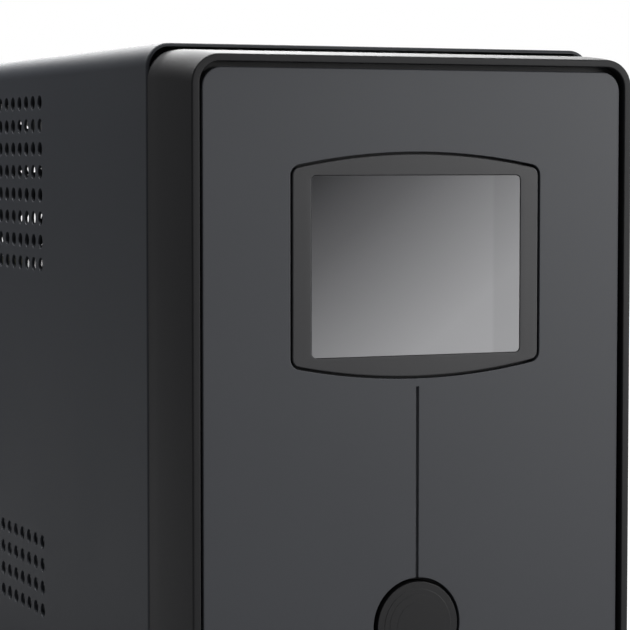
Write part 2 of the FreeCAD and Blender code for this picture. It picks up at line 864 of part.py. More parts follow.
def display_board():
    """The upright circuit board that carries the display and the power switch."""
    side = s.display_board_width / 2
    spots = display_board_spots()
    low = spots[0][1] - s.post_radius * 1.5
    high = spots[1][1] + s.post_radius * 1.5
    blank = box("display_board_blank", (-side, side), (board_front, board_back), (low, high))
    holes = [rod(f"display_board_hole_{index}", "Y", s.screw_radius + s.fit_gap / 2, (x, board_front, z),
                 s.board_thickness) for index, (x, z) in enumerate(spots)]
    return keep(cut("display_board_drilled", blank, holes), "display_board")


def power_button():
    """A round push button: a domed cap, a flange that keeps it in, and a stem."""
    body = new_body("button")
    profile = sketch(body, "button_profile", "X", 0, origin=(0, s.button_height))
    flange_front = bezel_floor_back + s.fit_gap / 3
    flange_back = flange_front + s.button_skin * 0.75
    face_back = button_front + s.button_skin
    stem_end = board_front - s.switch_depth - s.plunger_length - s.fit_gap / 6
    wall = s.button_radius - s.button_skin
    polygon(profile, [
        (button_front, 0), (button_front, s.button_radius), (flange_front, s.button_radius),
        (flange_front, s.button_radius + s.button_flange), (flange_back, s.button_radius + s.button_flange),
        (flange_back, wall), (face_back, wall), (face_back, s.stem_radius),
        (stem_end, s.stem_radius), (stem_end, 0),
    ])
    turned = body.newObject("PartDesign::Revolution", "button_turned")
    turned.Profile = profile
    turned.ReferenceAxis = (profile, ["H_Axis"])
    turned.Angle = 360
    fillet(body, "button_edge", s.plate_round, lambda point: near(point.y, button_front)
           and abs(point.z - s.button_height.value) + abs(point.x) > s.button_radius.value / 2)
    return keep(body, "power_button")


def switch_parts():
    """A small push switch on the display board, and the plunger that the button presses."""
    half = s.switch_width / 2
    front = board_front - s.switch_depth
    block = box("switch_block", (-half, half), (front, board_front),
                (s.button_height - half, s.button_height + half))
    well = rod("switch_well", "Y", s.plunger_radius + s.shaft_play * 2, (0, front, s.button_height),
               s.switch_depth - s.steel / 2)
    keep(cut("switch_housing", block, [well]), "switch_body")
    inside = s.switch_depth - s.steel / 2 - s.button_travel - s.fit_gap
    plunger = rod("switch_pin", "Y", s.plunger_radius, (0, front - s.plunger_length, s.button_height),
                  s.plunger_length + inside)
    keep(plunger, "switch_plunger")


def button_spring():
    """The coil spring that returns the button, wound in half turns between its cap and the board."""
    start = button_front + s.button_skin + s.spring_wire
    pitch = (board_front - start - s.spring_wire) / s.spring_turns
    radius = s.spring_radius
    lean = pitch / 4
    half_turns = []
    for index in range(int(s.spring_turns.value) * 2):
        side = 1 if index % 2 == 0 else -1
        outward = Vector(side * radius.value, -lean.value, 0).normalize()
        upward = Vector(0, 0, side)
        turn = doc.addObject("Part::Torus", f"spring_half_turn_{index}")
        turn.Angle3 = 180
        turn.Placement = Placement(Vector(), Rotation(outward, upward, outward.cross(upward), "XYZ"))
        bind(turn, "Radius1", long_side(radius, lean))
        bind(turn, "Radius2", s.spring_wire)
        place(turn, 0, start + pitch * (index * 0.5 + 0.25), s.button_height)
        half_turns.append(turn)
    return keep(fuse("spring", half_turns), "button_spring")


def front_partition():
    """The steel sheet behind the bezel, with a cable opening and a folded foot."""
    edge = bezel_half - s.bezel_wall - s.fit_gap * 2
    sheet_face = box("partition_sheet", (-edge, edge), (partition_front, partition_back),
                     (floor_top + s.fit_gap, bezel_top - s.bezel_wall - s.fit_gap))
    foot = box("partition_foot", (s.foot_inset - edge, edge - s.foot_inset),
               (partition_back, partition_back + s.panel_flange),
               (floor_top, floor_top + s.steel))
    foot_root = box("partition_root", (s.foot_inset - edge, edge - s.foot_inset),
                    (partition_front, partition_back), (floor_top, floor_top + s.steel))
    cable_hole = rod("partition_cable_hole", "Y", s.button_radius,
                     (display_cable_x, partition_front, display_centre), s.steel)
    holder = fuse("partition_blank", [sheet_face, foot_root, foot])
    return keep(cut("partition", holder, [cable_hole]), "front_partition")


def buzzer():
    """The round alarm sounder on the display board."""
    z = (s.button_height + display_centre) / 2
    x = s.display_board_width / 4
    case = rod("buzzer_case", "Y", s.spring_radius, (x, board_front - s.module_depth, z), s.module_depth)
    hole = rod("buzzer_hole", "Y", s.stem_radius, (x, board_front - s.module_depth, z), s.steel)
    return keep(cut("buzzer_open", case, [hole]), "buzzer")


def batteries():
    """Two sealed lead-acid batteries side by side, with tab terminals on top."""
    lid = s.terminal_height
    tabs = []
    for name, side in (("left", -1), ("right", 1)):
        xs = ordered(s.fit_gap * 2 * side, (s.fit_gap * 2 + s.battery_width) * side)
        body = new_body(f"battery_{name}_body")
        case = sketch(body, f"battery_{name}_case", "Z", floor_top)
        rectangle(case, xs, (battery_start, battery_end), s.cover_corner / 3)
        pad(body, case, "Z", s.battery_height - lid)
        top = sketch(body, f"battery_{name}_lid", "Z", floor_top + s.battery_height - lid)
        rectangle(top, (xs[0] + s.steel, xs[1] - s.steel),
                  (battery_start + s.steel, battery_end - s.steel), s.cover_corner / 3)
        pad(body, top, "Z", lid)
        keep(body, f"battery_{name}")
        for index, x in enumerate((tab_inner * side, tab_outer * side)):
            tabs.append(box(f"battery_tab_{name}_{index}", (x - s.post_radius, x + s.post_radius),
                            (tab_front, tab_back), (battery_top, battery_top + lid)))
    keep(group("battery_tabs", tabs), "battery_terminals")


def board_shelf():
    """A folded steel bridge over the batteries that carries the power board."""
    body = new_body("shelf")
    profile = sketch(body, "shelf_profile", "Y", shelf_start)
    inner = leg_half - s.steel
    outline(profile, [
        (-leg_half, floor_top, 0), (-leg_half, shelf_top, 0), (leg_half, shelf_top, 0),
        (leg_half, floor_top, 0), (inner, floor_top, 0), (inner, shelf_bottom, 0),
        (-inner, shelf_bottom, 0), (-inner, floor_top, 0),
    ])
    pad(body, profile, "Y", s.shelf_length)
    slot = sketch(body, "shelf_cable_slot", "Z", shelf_bottom)
    reach = tab_outer + s.panel_flange / 2
    rectangle(slot, (-reach, reach), (battery_end, lead_rise + s.panel_flange / 2), s.post_radius)
    pocket(body, slot, "Z", s.steel)
    posts = sketch(body, "shelf_post_holes", "Z", shelf_bottom)
    for x, y in main_board_spots():
        circle(posts, x, y, s.screw_radius)
    pocket(body, posts, "Z", s.steel)
    return keep(body, "board_shelf")


def main_board_spots():
    """Where the power board stands on posts, as (x, y)."""
    side = s.main_board_width / 2 - s.post_radius * 1.5
    first = shelf_start + s.panel_flange
    last = first + s.main_board_length - s.post_radius * 3
    return [(x, y) for x in (-side, side) for y in (first, (first + last) / 2, last)]


def main_board():
    """The power board, drilled at its posts."""
    spots = main_board_spots()
    side = s.main_board_width / 2
    start = spots[0][1] - s.post_radius * 1.5
    blank = box("main_board_blank", (-side, side), (start, start + s.main_board_length),
                (main_board_bottom, main_board_top))
    holes = [rod(f"main_board_hole_{index}", "Z", s.screw_radius + s.fit_gap / 2,
                 (x, y, main_board_bottom), s.board_thickness) for index, (x, y) in enumerate(spots)]
    notch = s.panel_flange / 2
    for side in (-1, 1):
        x = tab_outer * side
        holes.append(box(f"main_board_notch_{side + 1}", (x - notch, x + notch),
                         (lead_rise - notch, lead_rise + notch), (main_board_bottom, main_board_top)))
    keep(cut("main_board_drilled", blank, holes), "main_board")
    posts = []
    for index, (x, y) in enumerate(spots):
        outer = rod(f"post_{index}", "Z", s.post_radius, (x, y, shelf_top), s.post_height)
        stud = rod(f"post_stud_{index}", "Z", s.screw_radius, (x, y, shelf_bottom), s.steel)
        bore = rod(f"post_bore_{index}", "Z", s.screw_radius, (x, y, shelf_top + s.steel),
                   s.post_height - s.steel)
        posts.append(cut(f"post_done_{index}", fuse(f"post_blank_{index}", [outer, stud]), [bore]))
    keep(group("posts", posts), "board_standoffs")
    screws = []
    grip = s.board_thickness + s.post_height / 2
    for index, (x, y) in enumerate(spots):
        head = rod(f"board_screw_head_{index}", "Z", s.head_radius, (x, y, main_board_top), s.head_height)
        shank = rod(f"board_screw_shank_{index}", "Z", s.screw_radius,
                    (x, y, main_board_top - grip), grip)
        screws.append(fuse(f"board_screw_{index}", [head, shank]))
    for index, (x, z) in enumerate(display_board_spots()):
        head = rod(f"display_screw_head_{index}", "Y", s.head_radius, (x, board_back, z), s.head_height)
        shank = rod(f"display_screw_shank_{index}", "Y", s.screw_radius,
                    (x, board_back - grip, z), grip)
        screws.append(fuse(f"display_screw_{index}", [head, shank]))
    keep(group("board_screw_set", screws), "board_screws")


def heat_sink(name, side, inner_face, start, length, height):
    """A comb-shaped extrusion: a back plate with level fins that point outwards."""
    body = new_body(f"sink_{name}")
    comb = sketch(body, f"sink_{name}_comb", "Y", start, origin=(inner_face, main_board_top))
    fins = 5
    root = s.post_radius * side
    tip = s.panel_flange * side
    step = height / (fins * 2 - 1)
    corners = [(0, 0, 0)]
    for fin in range(fins):
        low = step * (fin * 2)
        corners += [(tip, low, 0), (tip, low + step, 0)]
        if fin < fins - 1:
            corners += [(root, low + step, 0), (root, low + step * 2, 0)]
    corners += [(0, height, 0)]
    outline(comb, corners)
    pad(body, comb, "Y", length)
    keep(body, f"heatsink_{name}")


def board_parts():
    """Heat sinks with their transistors, capacitors, relays and connectors."""
    sink_length = s.main_board_length / 2.4
    sink_height = s.display_drop * 0.75
    start = main_board_spots()[0][1] + s.panel_flange
    chips = []
    for name, side in (("left", -1), ("right", 1)):
        inner_face = s.main_board_width / 3.2 * side
        heat_sink(name, side, inner_face, start, sink_length, sink_height)
        case = ordered(inner_face, inner_face - s.socket_proud * 2 * side)
        leg = ordered(inner_face - s.steel * side, inner_face - s.steel * 3 * side)
        leg_top = main_board_top + s.post_radius
        for index in range(4):
            y = start + sink_length / 4 * (index + 0.25)
            chips.append(box(f"transistor_{name}_{index}", case, (y, y + s.panel_flange),
                             (leg_top, main_board_top + s.post_radius * 6)))
            chips.append(box(f"transistor_leg_{name}_{index}", leg,
                             (y + s.post_radius / 2, y + s.post_radius * 2.5), (main_board_top, leg_top)))
    keep(group("transistor_set", chips), "transistors")
    after = start + sink_length + s.panel_flange * 2
    cans = []
    for index in range(3):
        for side in (-1, 1):
            spot = (s.panel_flange * side, start + s.panel_flange * (1.5 + index * 2.3), main_board_top)
            radius = s.post_radius * 2.6
            can = rod(f"capacitor_{index}_{side + 1}", "Z", radius, spot, sink_height * 0.7)
            cans.append(can)
    keep(group("capacitor_set", cans), "capacitors")
    relays = []
    for index in range(4):
        x = s.panel_flange * 2.2 * (index - 1.5)
        half = s.panel_flange * 0.9
        relays.append(box(f"relay_{index}", (x - half, x + half), (after, after + s.foot_inset),
                          (main_board_top, main_board_top + s.panel_flange * 1.6)))
    keep(group("relay_set", relays), "relays")
    blocks = []
    half = s.panel_flange / 2
    for index in range(5):
        x = tab_outer * ((index - 2) / 2)
        blocks.append(box(f"connector_{index}", (x - half, x + half), (lead_end, lead_end + s.panel_flange),
                          (main_board_top, main_board_top + s.panel_flange * 1.6)))
    keep(group("connector_set", blocks), "board_connectors")


def transformer():
    """The mains transformer: laminated core, bobbin, winding, strap and bolts."""
    half = s.core_width / 2
    start = partition_back + s.core_behind
    end = start + s.core_depth
    low = floor_top
    high = low + s.core_height
    middle = (start + end) / 2
    block = box("core_block", (-half, half), (start, end), (low, high))
    windows = []
    for side in (-1, 1):
        xs = ordered(s.core_leg / 2 * side, (half - s.core_yoke) * side)
        windows.append(box(f"core_window_{side + 1}", xs, (start, end),
                           (low + s.core_yoke, high - s.core_yoke)))
    keep(cut("core", block, windows), "transformer_core")

    gap = s.fit_gap
    leg_x = s.core_leg / 2 + gap
    leg_y = s.core_depth / 2 + gap
    wall_x = leg_x + s.bobbin_wall
    wall_y = leg_y + s.bobbin_wall
    window_out = half - s.core_yoke - gap
    flange_y = wall_y + (window_out - wall_x)
    bottom = low + s.core_yoke
    top = high - s.core_yoke - gap
    tube = box("bobbin_tube", (-wall_x, wall_x), (middle - wall_y, middle + wall_y), (bottom, top))
    flanges = [box(f"bobbin_flange_{index}", (-window_out, window_out),
                   (middle - flange_y, middle + flange_y), (z, z + s.bobbin_wall))
               for index, z in enumerate((bottom, top - s.bobbin_wall))]
    bore = box("bobbin_bore", (-leg_x, leg_x), (middle - leg_y, middle + leg_y), (bottom, top))
    keep(cut("bobbin", fuse("bobbin_blank", [tube, *flanges]), [bore]), "transformer_bobbin")

    body = new_body("winding")
    low_face = bottom + s.bobbin_wall
    coil = sketch(body, "winding_outer", "Z", low_face, origin=(0, middle))
    out_x = window_out - gap * 2
    out_y = flange_y - gap * 2
    rectangle(coil, (-out_x, out_x), (-out_y, out_y), s.cover_corner)
    pad(body, coil, "Z", top - bottom - s.bobbin_wall * 2)
    hole = sketch(body, "winding_inner", "Z", low_face, origin=(0, middle))
    rectangle(hole, (-wall_x, wall_x), (-wall_y, wall_y))
    pocket(body, hole, "Z", top - bottom)
    keep(body, "transformer_winding")

    strap_out = half + s.steel
    foot_out = strap_out + s.panel_flange
    foot_top = floor_top + s.steel
    strap_body = new_body("strap")
    band = sketch(strap_body, "strap_profile", "Y", start + s.panel_flange)
    outline(band, [
        (-foot_out, floor_top, 0), (-foot_out, foot_top, 0), (-strap_out, foot_top, 0),
        (-strap_out, high + s.steel, 0), (strap_out, high + s.steel, 0),
        (strap_out, foot_top, 0), (foot_out, foot_top, 0), (foot_out, floor_top, 0),
        (half, floor_top, 0), (half, high, 0), (-half, high, 0), (-half, floor_top, 0),
    ])
    pad(strap_body, band, "Y", s.core_depth - s.panel_flange * 2)
    keep(strap_body, "transformer_bracket")
    bolts = []
    for index, side in enumerate((-1, 1)):
        for end_index, y in enumerate((start + s.panel_flange * 1.6, end - s.panel_flange * 1.6)):
            x = (strap_out + s.panel_flange / 2) * side
            bolts.append(rod(f"strap_bolt_{index}_{end_index}", "Z", s.head_radius,
                             (x, y, foot_top), s.head_height))
    keep(group("strap_bolts", bolts), "transformer_bolts")


def fan():
    """A square axial fan: frame with a motor mount and struts, and a bladed rotor."""
    body = new_body("fan_frame_body")
    place(body, fan_x, fan_back, fan_z)
    half = s.fan_size / 2
    square = sketch(body, "fan_square", "Y", 0)
    rectangle(square, (-half, half), (-half, half), s.post_radius)
    pad(body, square, "Y", s.fan_depth)
    bore = sketch(body, "fan_bore_hole", "Y", 0)
    circle(bore, 0, 0, s.fan_bore)
    pocket(body, bore, "Y", s.fan_depth)
    mount_depth = s.post_radius
    mount = sketch(body, "fan_mount", "Y", s.fan_depth - mount_depth)
    circle(mount, 0, 0, s.hub_radius)
    pad(body, mount, "Y", mount_depth)
    strut = sketch(body, "fan_strut", "Y", s.fan_depth - mount_depth)
    rectangle(strut, (-s.steel, s.steel), (s.hub_radius - s.steel, s.fan_bore + s.steel))
    arm = pad(body, strut, "Y", mount_depth)
    polar(body, arm, "fan_struts", "Y", 4)
    drill = sketch(body, "fan_drill", "Y", 0)
    for dx in (-1, 1):
        for dz in (-1, 1):
            circle(drill, s.fan_screw_pitch / 2 * dx, s.fan_screw_pitch / 2 * dz, s.screw_radius)
    circle(drill, 0, 0, s.shaft_radius + s.shaft_play)
    pocket(body, drill, "Y", s.fan_depth)
    keep(body, "fan_frame")

    rotor = new_body("rotor_body")
    place(rotor, fan_x, fan_back, fan_z)
    hub_back = s.fan_depth - mount_depth - s.fit_gap * 2
    hub = sketch(rotor, "rotor_hub", "Y", s.steel)
    circle(hub, 0, 0, s.hub_radius)
    pad(rotor, hub, "Y", hub_back - s.steel)
    shaft = sketch(rotor, "rotor_shaft", "Y", hub_back)
    circle(shaft, 0, 0, s.shaft_radius)
    pad(rotor, shaft, "Y", s.fan_depth - hub_back - s.steel / 2)
    blade_front = s.steel * 2.5
    blade_back = hub_back - s.steel * 1.5
    sections = []
    tip_sweep = s.hub_radius * 0.75
    tip = leg_of(s.fan_bore - s.blade_gap, tip_sweep)
    # each blade twists from steep at the hub to flatter at the tip
    for name, at, sweep in (("root", s.hub_radius - s.steel, s.hub_radius * 0.3),
                            ("tip", tip, tip_sweep)):
        section = sketch(rotor, f"blade_{name}", "X", at)
        thick = s.steel * 1.4
        polygon(section, [(blade_front, -sweep), (blade_front + thick, -sweep),
                          (blade_back, sweep), (blade_back - thick, sweep)])
        sections.append(section)
    blade = rotor.newObject("PartDesign::AdditiveLoft", "blade")
    blade.Profile = sections[0]
    blade.Sections = sections[1:]
    polar(rotor, blade, "blades", "Y", 7)
    keep(rotor, "fan_rotor")


def fan_guard():
    """The finger guard: flat rings and a centre disc on two crossed bars, with an eye at each end."""
    wire = s.guard_wire
    ring_back = rear_face + wire * 2
    bar_back = rear_face + wire
    pieces = [rod("guard_hub", "Y", wire * 6, (fan_x, bar_back, fan_z), wire * 3)]
    for index, share in enumerate((0.3, 0.5, 0.7, 0.9)):
        middle = s.fan_bore * share
        outer = rod(f"guard_outer_{index}", "Y", middle + wire, (fan_x, ring_back, fan_z), wire * 2)
        inner = rod(f"guard_inner_{index}", "Y", middle - wire, (fan_x, rear_face, fan_z), wire * 5)
        pieces.append(cut(f"guard_ring_{index}", outer, [inner]))
    reach = s.fan_screw_pitch / 2 * math.sqrt(2)
    half = wire * 0.8
    for index, angle in enumerate((45, 135)):
        bar = doc.addObject("Part::Box", f"guard_bar_{index}")
        turn = Rotation(Vector(0, 1, 0), angle)
        along = turn.multVec(Vector(1, 0, 0))
        across = turn.multVec(Vector(0, 0, 1))
        bar.Placement = Placement(Vector(), turn)
        bind(bar, "Length", reach * 2)
        bind(bar, "Width", wire * 2)
        bind(bar, "Height", half * 2)
        x = fan_x - reach * along.x - half * across.x
        z = fan_z - reach * along.z - half * across.z
        place(bar, x, bar_back, z)
        pieces.append(bar)
    spots = fan_screw_spots()
    pieces += [rod(f"guard_eye_{index}", "Y", s.head_radius + wire, (x, rear_face, z), wire * 3)
               for index, (x, z) in enumerate(spots)]
    holes = [rod(f"guard_hole_{index}", "Y", s.screw_radius + s.fit_gap, (x, rear_face, z), wire * 4)
             for index, (x, z) in enumerate(spots)]
    return keep(cut("guard", fuse("guard_wires", pieces), holes), "fan_guard")


def fan_screw_spots():
    half = s.fan_screw_pitch / 2
    return [(fan_x + half * dx, fan_z + half * dz) for dx in (-1, 1) for dz in (-1, 1)]


def fan_screws():
    """Four self-tapping screws through the guard's eyes and the panel into the fan."""
    screws = []
    seat = rear_face + s.guard_wire * 3
    grip = s.guard_wire * 3 + s.steel + s.screw_length
    for index, (x, z) in enumerate(fan_screw_spots()):
        head = rod(f"fan_screw_head_{index}", "Y", s.head_radius, (x, seat, z), s.head_height)
        shank = rod(f"fan_screw_shank_{index}", "Y", s.screw_radius, (x, seat - grip, z), grip)
        screws.append(fuse(f"fan_screw_{index}", [head, shank]))
    return keep(group("fan_screw_set", screws), "fan_screws")


def socket_spots():
    half = s.socket_pitch_x / 2
    low = floor_top + s.socket_base
    return [(x, z) for z in (low, low + s.socket_pitch_z) for x in (-half, half)]


def sockets():
    """Four round mains outlets, each with a recess, two pin holes and two earth clips."""
    clips = []
    front = rear_face + s.socket_proud
    recess_floor = front - s.socket_depth
    half = s.socket_flange / 2
    for number, (x, z) in enumerate(socket_spots(), start=1):
        body = new_body(f"socket_body_{number}")
        place(body, x, 0, z)
        flange = sketch(body, f"socket_flange_{number}", "Y", rear_face)
        rectangle(flange, (-half, half), (-half, half), s.post_radius)
        pad(body, flange, "Y", s.socket_proud)
        barrel = sketch(body, f"socket_barrel_{number}", "Y", rear_face)
        circle(barrel, 0, 0, s.socket_barrel)
        pad(body, barrel, "Y", rear_face - recess_floor + s.socket_floor, onward=False)
        recess = sketch(body, f"socket_recess_{number}", "Y", front)
        circle(recess, 0, 0, s.socket_recess)
        pocket(body, recess, "Y", s.socket_depth, onward=False)
        pins = sketch(body, f"socket_pins_{number}", "Y", recess_floor)
        for side in (-1, 1):
            circle(pins, s.pin_spacing / 2 * side, 0, s.pin_hole)
        pocket(body, pins, "Y", s.socket_floor - s.steel, onward=False)
        keep(body, f"socket_{number}")
        for side in (-1, 1):
            outer = s.socket_recess - s.clip_thickness * 1.5
            ends = ordered(outer * side, (outer - s.clip_thickness) * side)
            clips.append(box(f"clip_{number}_{side + 1}", (x - s.clip_width / 2, x + s.clip_width / 2),
                             (recess_floor, front - s.steel), (z + ends[0], z + ends[1])))
    keep(group("clips", clips), "earth_clips")


def inlet():
    """The three-blade mains inlet with its shroud cavity."""
    x = s.column_side
    z = s.inlet_height
    front = rear_face + s.socket_proud
    floor = front - s.cavity_depth
    body = new_body("inlet_body")
    place(body, x, 0, z)
    flange = sketch(body, "inlet_flange", "Y", rear_face)
    rectangle(flange, (-s.inlet_width / 2, s.inlet_width / 2), (-s.inlet_tall / 2, s.inlet_tall / 2),
              s.screw_radius)
    pad(body, flange, "Y", s.socket_proud)
    shroud = sketch(body, "inlet_shroud", "Y", rear_face)
    half = s.cavity_width / 2 + 1.2
    rise = s.cavity_tall / 2 + 1.2
    rectangle(shroud, (-half, half), (-rise, rise), s.screw_radius)
    pad(body, shroud, "Y", rear_face - floor + s.post_radius, onward=False)
    cavity = sketch(body, "inlet_cavity", "Y", front)
    rectangle(cavity, (-s.cavity_width / 2, s.cavity_width / 2), (-s.cavity_tall / 2, s.cavity_tall / 2),
              s.steel)
    pocket(body, cavity, "Y", s.cavity_depth, onward=False)
    blade_spots = inlet_blade_spots()
    slots = sketch(body, "inlet_slots", "Y", floor)
    for dx, dz in blade_spots:
        rectangle(slots, (dx - s.steel, dx + s.steel), (dz - s.steel * 2, dz + s.steel * 2))
    pocket(body, slots, "Y", s.post_radius, onward=False)
    keep(body, "inlet_housing")
    blades = [box(f"inlet_blade_{index}", (x + dx - s.steel, x + dx + s.steel),
                  (floor - s.panel_flange, front - s.steel),
                  (z + dz - s.steel * 2, z + dz + s.steel * 2))
              for index, (dx, dz) in enumerate(blade_spots)]
    keep(group("inlet_blades", blades), "inlet_pins")


def inlet_blade_spots():
    return [(-s.cavity_width * 0.287, -s.steel * 2), (s.cavity_width * 0.287, -s.steel * 2),
            (as_size(0), s.steel * 4)]


def breaker():
    """The thermal circuit breaker: case, fixing nut and the reset button that pops out."""
    x = s.column_side
    z = s.breaker_height
    neck_end = rear_limit - s.post_radius * 1.2
    half = s.post_radius * 2.2
    case = box("breaker_case", (x - half * 1.4, x + half * 1.4), (rear_inside - s.foot_inset, rear_inside),
               (z - half, z + half))
    neck = rod("breaker_neck", "Y", s.breaker_bush, (x, rear_inside, z), neck_end - rear_inside)
    well_depth = s.breaker_travel + s.post_radius * 3
    well = rod("breaker_well", "Y", s.breaker_reset + s.shaft_play * 2,
               (x, neck_end - well_depth, z), well_depth)
    keep(cut("breaker_bored", fuse("breaker_blank", [case, neck]), [well]), "breaker_body")
    body = new_body("nut")
    place(body, x, 0, z)
    hexagon = sketch(body, "nut_hexagon", "Y", rear_face)
    flat = s.breaker_nut * (math.sqrt(3) / 2)
    polygon(hexagon, [(s.breaker_nut, 0), (s.breaker_nut / 2, flat), (-s.breaker_nut / 2, flat),
                      (-s.breaker_nut, 0), (-s.breaker_nut / 2, -flat), (s.breaker_nut / 2, -flat)])
    pad(body, hexagon, "Y", s.socket_proud)
    bore = sketch(body, "nut_bore", "Y", rear_face)
    circle(bore, 0, 0, s.breaker_bush + s.shaft_play)
    pocket(body, bore, "Y", s.socket_proud)
    keep(body, "breaker_nut")
    button = new_body("reset_body")
    place(button, x, 0, z)
    start = neck_end - well_depth + s.fit_gap
    disc = sketch(button, "reset_disc", "Y", start)
    circle(disc, 0, 0, s.breaker_reset)
    pad(button, disc, "Y", rear_limit - start)
    fillet(button, "reset_edge", s.plate_round, lambda point: near(point.y, rear_limit))
    keep(button, "breaker_reset_button")


def ports():
    """The phone-line sockets, the data socket, and the small board that carries them."""
    x = s.column_side
    front = rear_face + s.steel
    back = rear_face - s.port_depth
    half = s.phone_width / 2
    rise = s.phone_tall / 2
    phone_low = s.phone_height - rise
    phone_high = s.phone_height + rise
    block = box("phone_block", (x - half, x + half), (back, front), (phone_low, phone_high))
    cavities = []
    for side in (-1, 1):
        middle = x + half / 2 * side
        reach = half / 2 - s.steel * 1.8
        floor = back + s.steel * 3
        roof = phone_high - s.steel * 4
        cavities.append(box(f"phone_cavity_{side + 1}", (middle - reach, middle + reach),
                            (floor, front), (phone_low + s.steel * 2, roof)))
        cavities.append(box(f"phone_latch_{side + 1}", (middle - reach / 2, middle + reach / 2),
                            (floor, front), (roof, phone_high - s.steel * 2)))
    keep(cut("phone", block, cavities), "phone_ports")

    usb_half = s.usb_width / 2
    usb_rise = s.usb_tall / 2
    usb_high = s.usb_height + usb_rise
    shell = box("usb_shell", (x - usb_half, x + usb_half), (back, front),
                (s.usb_height - usb_rise, usb_high))
    skin = s.steel * 1.6
    well = box("usb_well", (x - usb_half + skin, x + usb_half - skin), (back + s.steel * 4, front),
               (s.usb_height - usb_rise + skin, usb_high - skin))
    tongue = box("usb_tongue", (x - usb_half / 2, x + usb_half / 2), (back + s.steel * 3, front - s.steel),
                 (s.usb_height - s.steel * 1.6, s.usb_height + s.steel * 1.6))
    keep(fuse("usb", [cut("usb_open", shell, [well]), tongue]), "usb_port")

    keep(box("port_board", (x - half, x + half), (back - s.board_thickness, back),
             (phone_low, usb_high)), "data_board")


def tube(name, points, share=0.45, radius=1.6):
    """A wire of straight runs joined by tangent arcs, as one swept solid."""
    spots = [Vector(*(as_size(value).value for value in point)) for point in points]
    pieces = []
    start = spots[0]
    for before, corner, after in zip(spots, spots[1:], spots[2:]):
        back = before - corner
        ahead = after - corner
        trim = share * min(back.Length, ahead.Length)
        arc_start = toward(corner, before, trim)
        arc_end = toward(corner, after, trim)
        half_turn = (math.pi - back.getAngle(ahead)) / 2
        bend = trim / math.tan(half_turn)
        inward = (toward(corner, before, 1) + toward(corner, after, 1)) / 2 - corner
        centre = corner + inward * (math.hypot(bend, trim) / inward.Length)
        arc_middle = centre + (corner - centre) * (bend / (corner - centre).Length)
        pieces.append(Part.LineSegment(start, arc_start).toShape())
        pieces.append(Part.Arc(arc_start, arc_middle, arc_end).toShape())
        print(f"{name}: bend radius {bend:.1f}")
        start = arc_end
    pieces.append(Part.LineSegment(start, spots[-1]).toShape())
    path = Part.Wire(pieces)
    section = Part.Wire(Part.makeCircle(radius, spots[0], spots[1] - spots[0]))
    solid = path.makePipeShell([section], True, False)
    item = doc.addObject("Part::Feature", name)
    item.Shape = solid
    item.Placement = Placement()
    expected = math.pi * radius ** 2 * path.Length
    print(f"{name}: volume {solid.Volume:.1f}, section times length {expected:.1f}")
    return item


def wiring():
    """The battery leads, the link between the batteries, and the display's cable."""
    tab_z = battery_top + s.terminal_height / 2
    lead_z = main_board_top + s.panel_flange
    for label, side in (("battery_cable_black", -1), ("battery_cable_red", 1)):
        x = tab_outer * side
        route = [(x, tab_back, tab_z), (x, lead_rise, tab_z), (x, lead_rise, lead_z), (x, lead_end, lead_z)]
        keep(tube(label + "_wire", route), label)
    reach = tab_back + s.foot_inset * 0.75
    link = [(-tab_inner, tab_back, tab_z), (-tab_inner, reach, tab_z),
            (tab_inner, reach, tab_z), (tab_inner, tab_back, tab_z)]
    keep(tube("battery_link_wire", link), "battery_link_cable")
    landing = main_board_spots()[0][1] + s.post_radius
    ribbon = [(display_cable_x, board_back, display_centre), (display_cable_x, landing, display_centre),
              (display_cable_x, landing, main_board_top)]
    keep(tube("display_wire", ribbon), "display_cable")


def check_model():
    """Stops with a message if any feature failed or any pocket cut nothing."""
    failed = [item.Name for item in doc.Objects
              if "Invalid" in item.State or "Error" in item.State]
    if failed:
        raise SystemExit(f"failed objects: {failed}")
    for item in pockets:
        if item.Shape.Volume >= item.BaseFeature.Shape.Volume - 1e-6:
            raise SystemExit(f"{item.Name} cuts nothing")
    for item in nodes:
        if item.Shape.isNull() or not item.Shape.isValid():
            raise SystemExit(f"{item.Label} has no valid shape")


def main():
    cover_shell()
    base_chassis()
    rubber_feet()
    rear_panel()
    cover_screws()
    front_bezel()
    front_plate()
    lcd_bezel()
    lcd_lens()
    lcd_module()
    lcd_glass()
    display_board()
    power_button()
    switch_parts()
    button_spring()
    front_partition()
    buzzer()
    batteries()
    board_shelf()
    main_board()
    board_parts()
    transformer()
    fan()
    fan_guard()
    fan_screws()
    sockets()
    inlet()
    breaker()
    ports()
    wiring()
    doc.recompute()
    check_model()
    os.makedirs("parts", exist_ok=True)
    for item in nodes:
        item.Shape.exportStep(f"parts/{item.Label}.step")
        print(f"{item.Label}: {len(item.Shape.Solids)} solid(s), {item.Shape.Volume:.0f} cubic mm")
    print(f"{len(nodes)} sub-parts")


main()
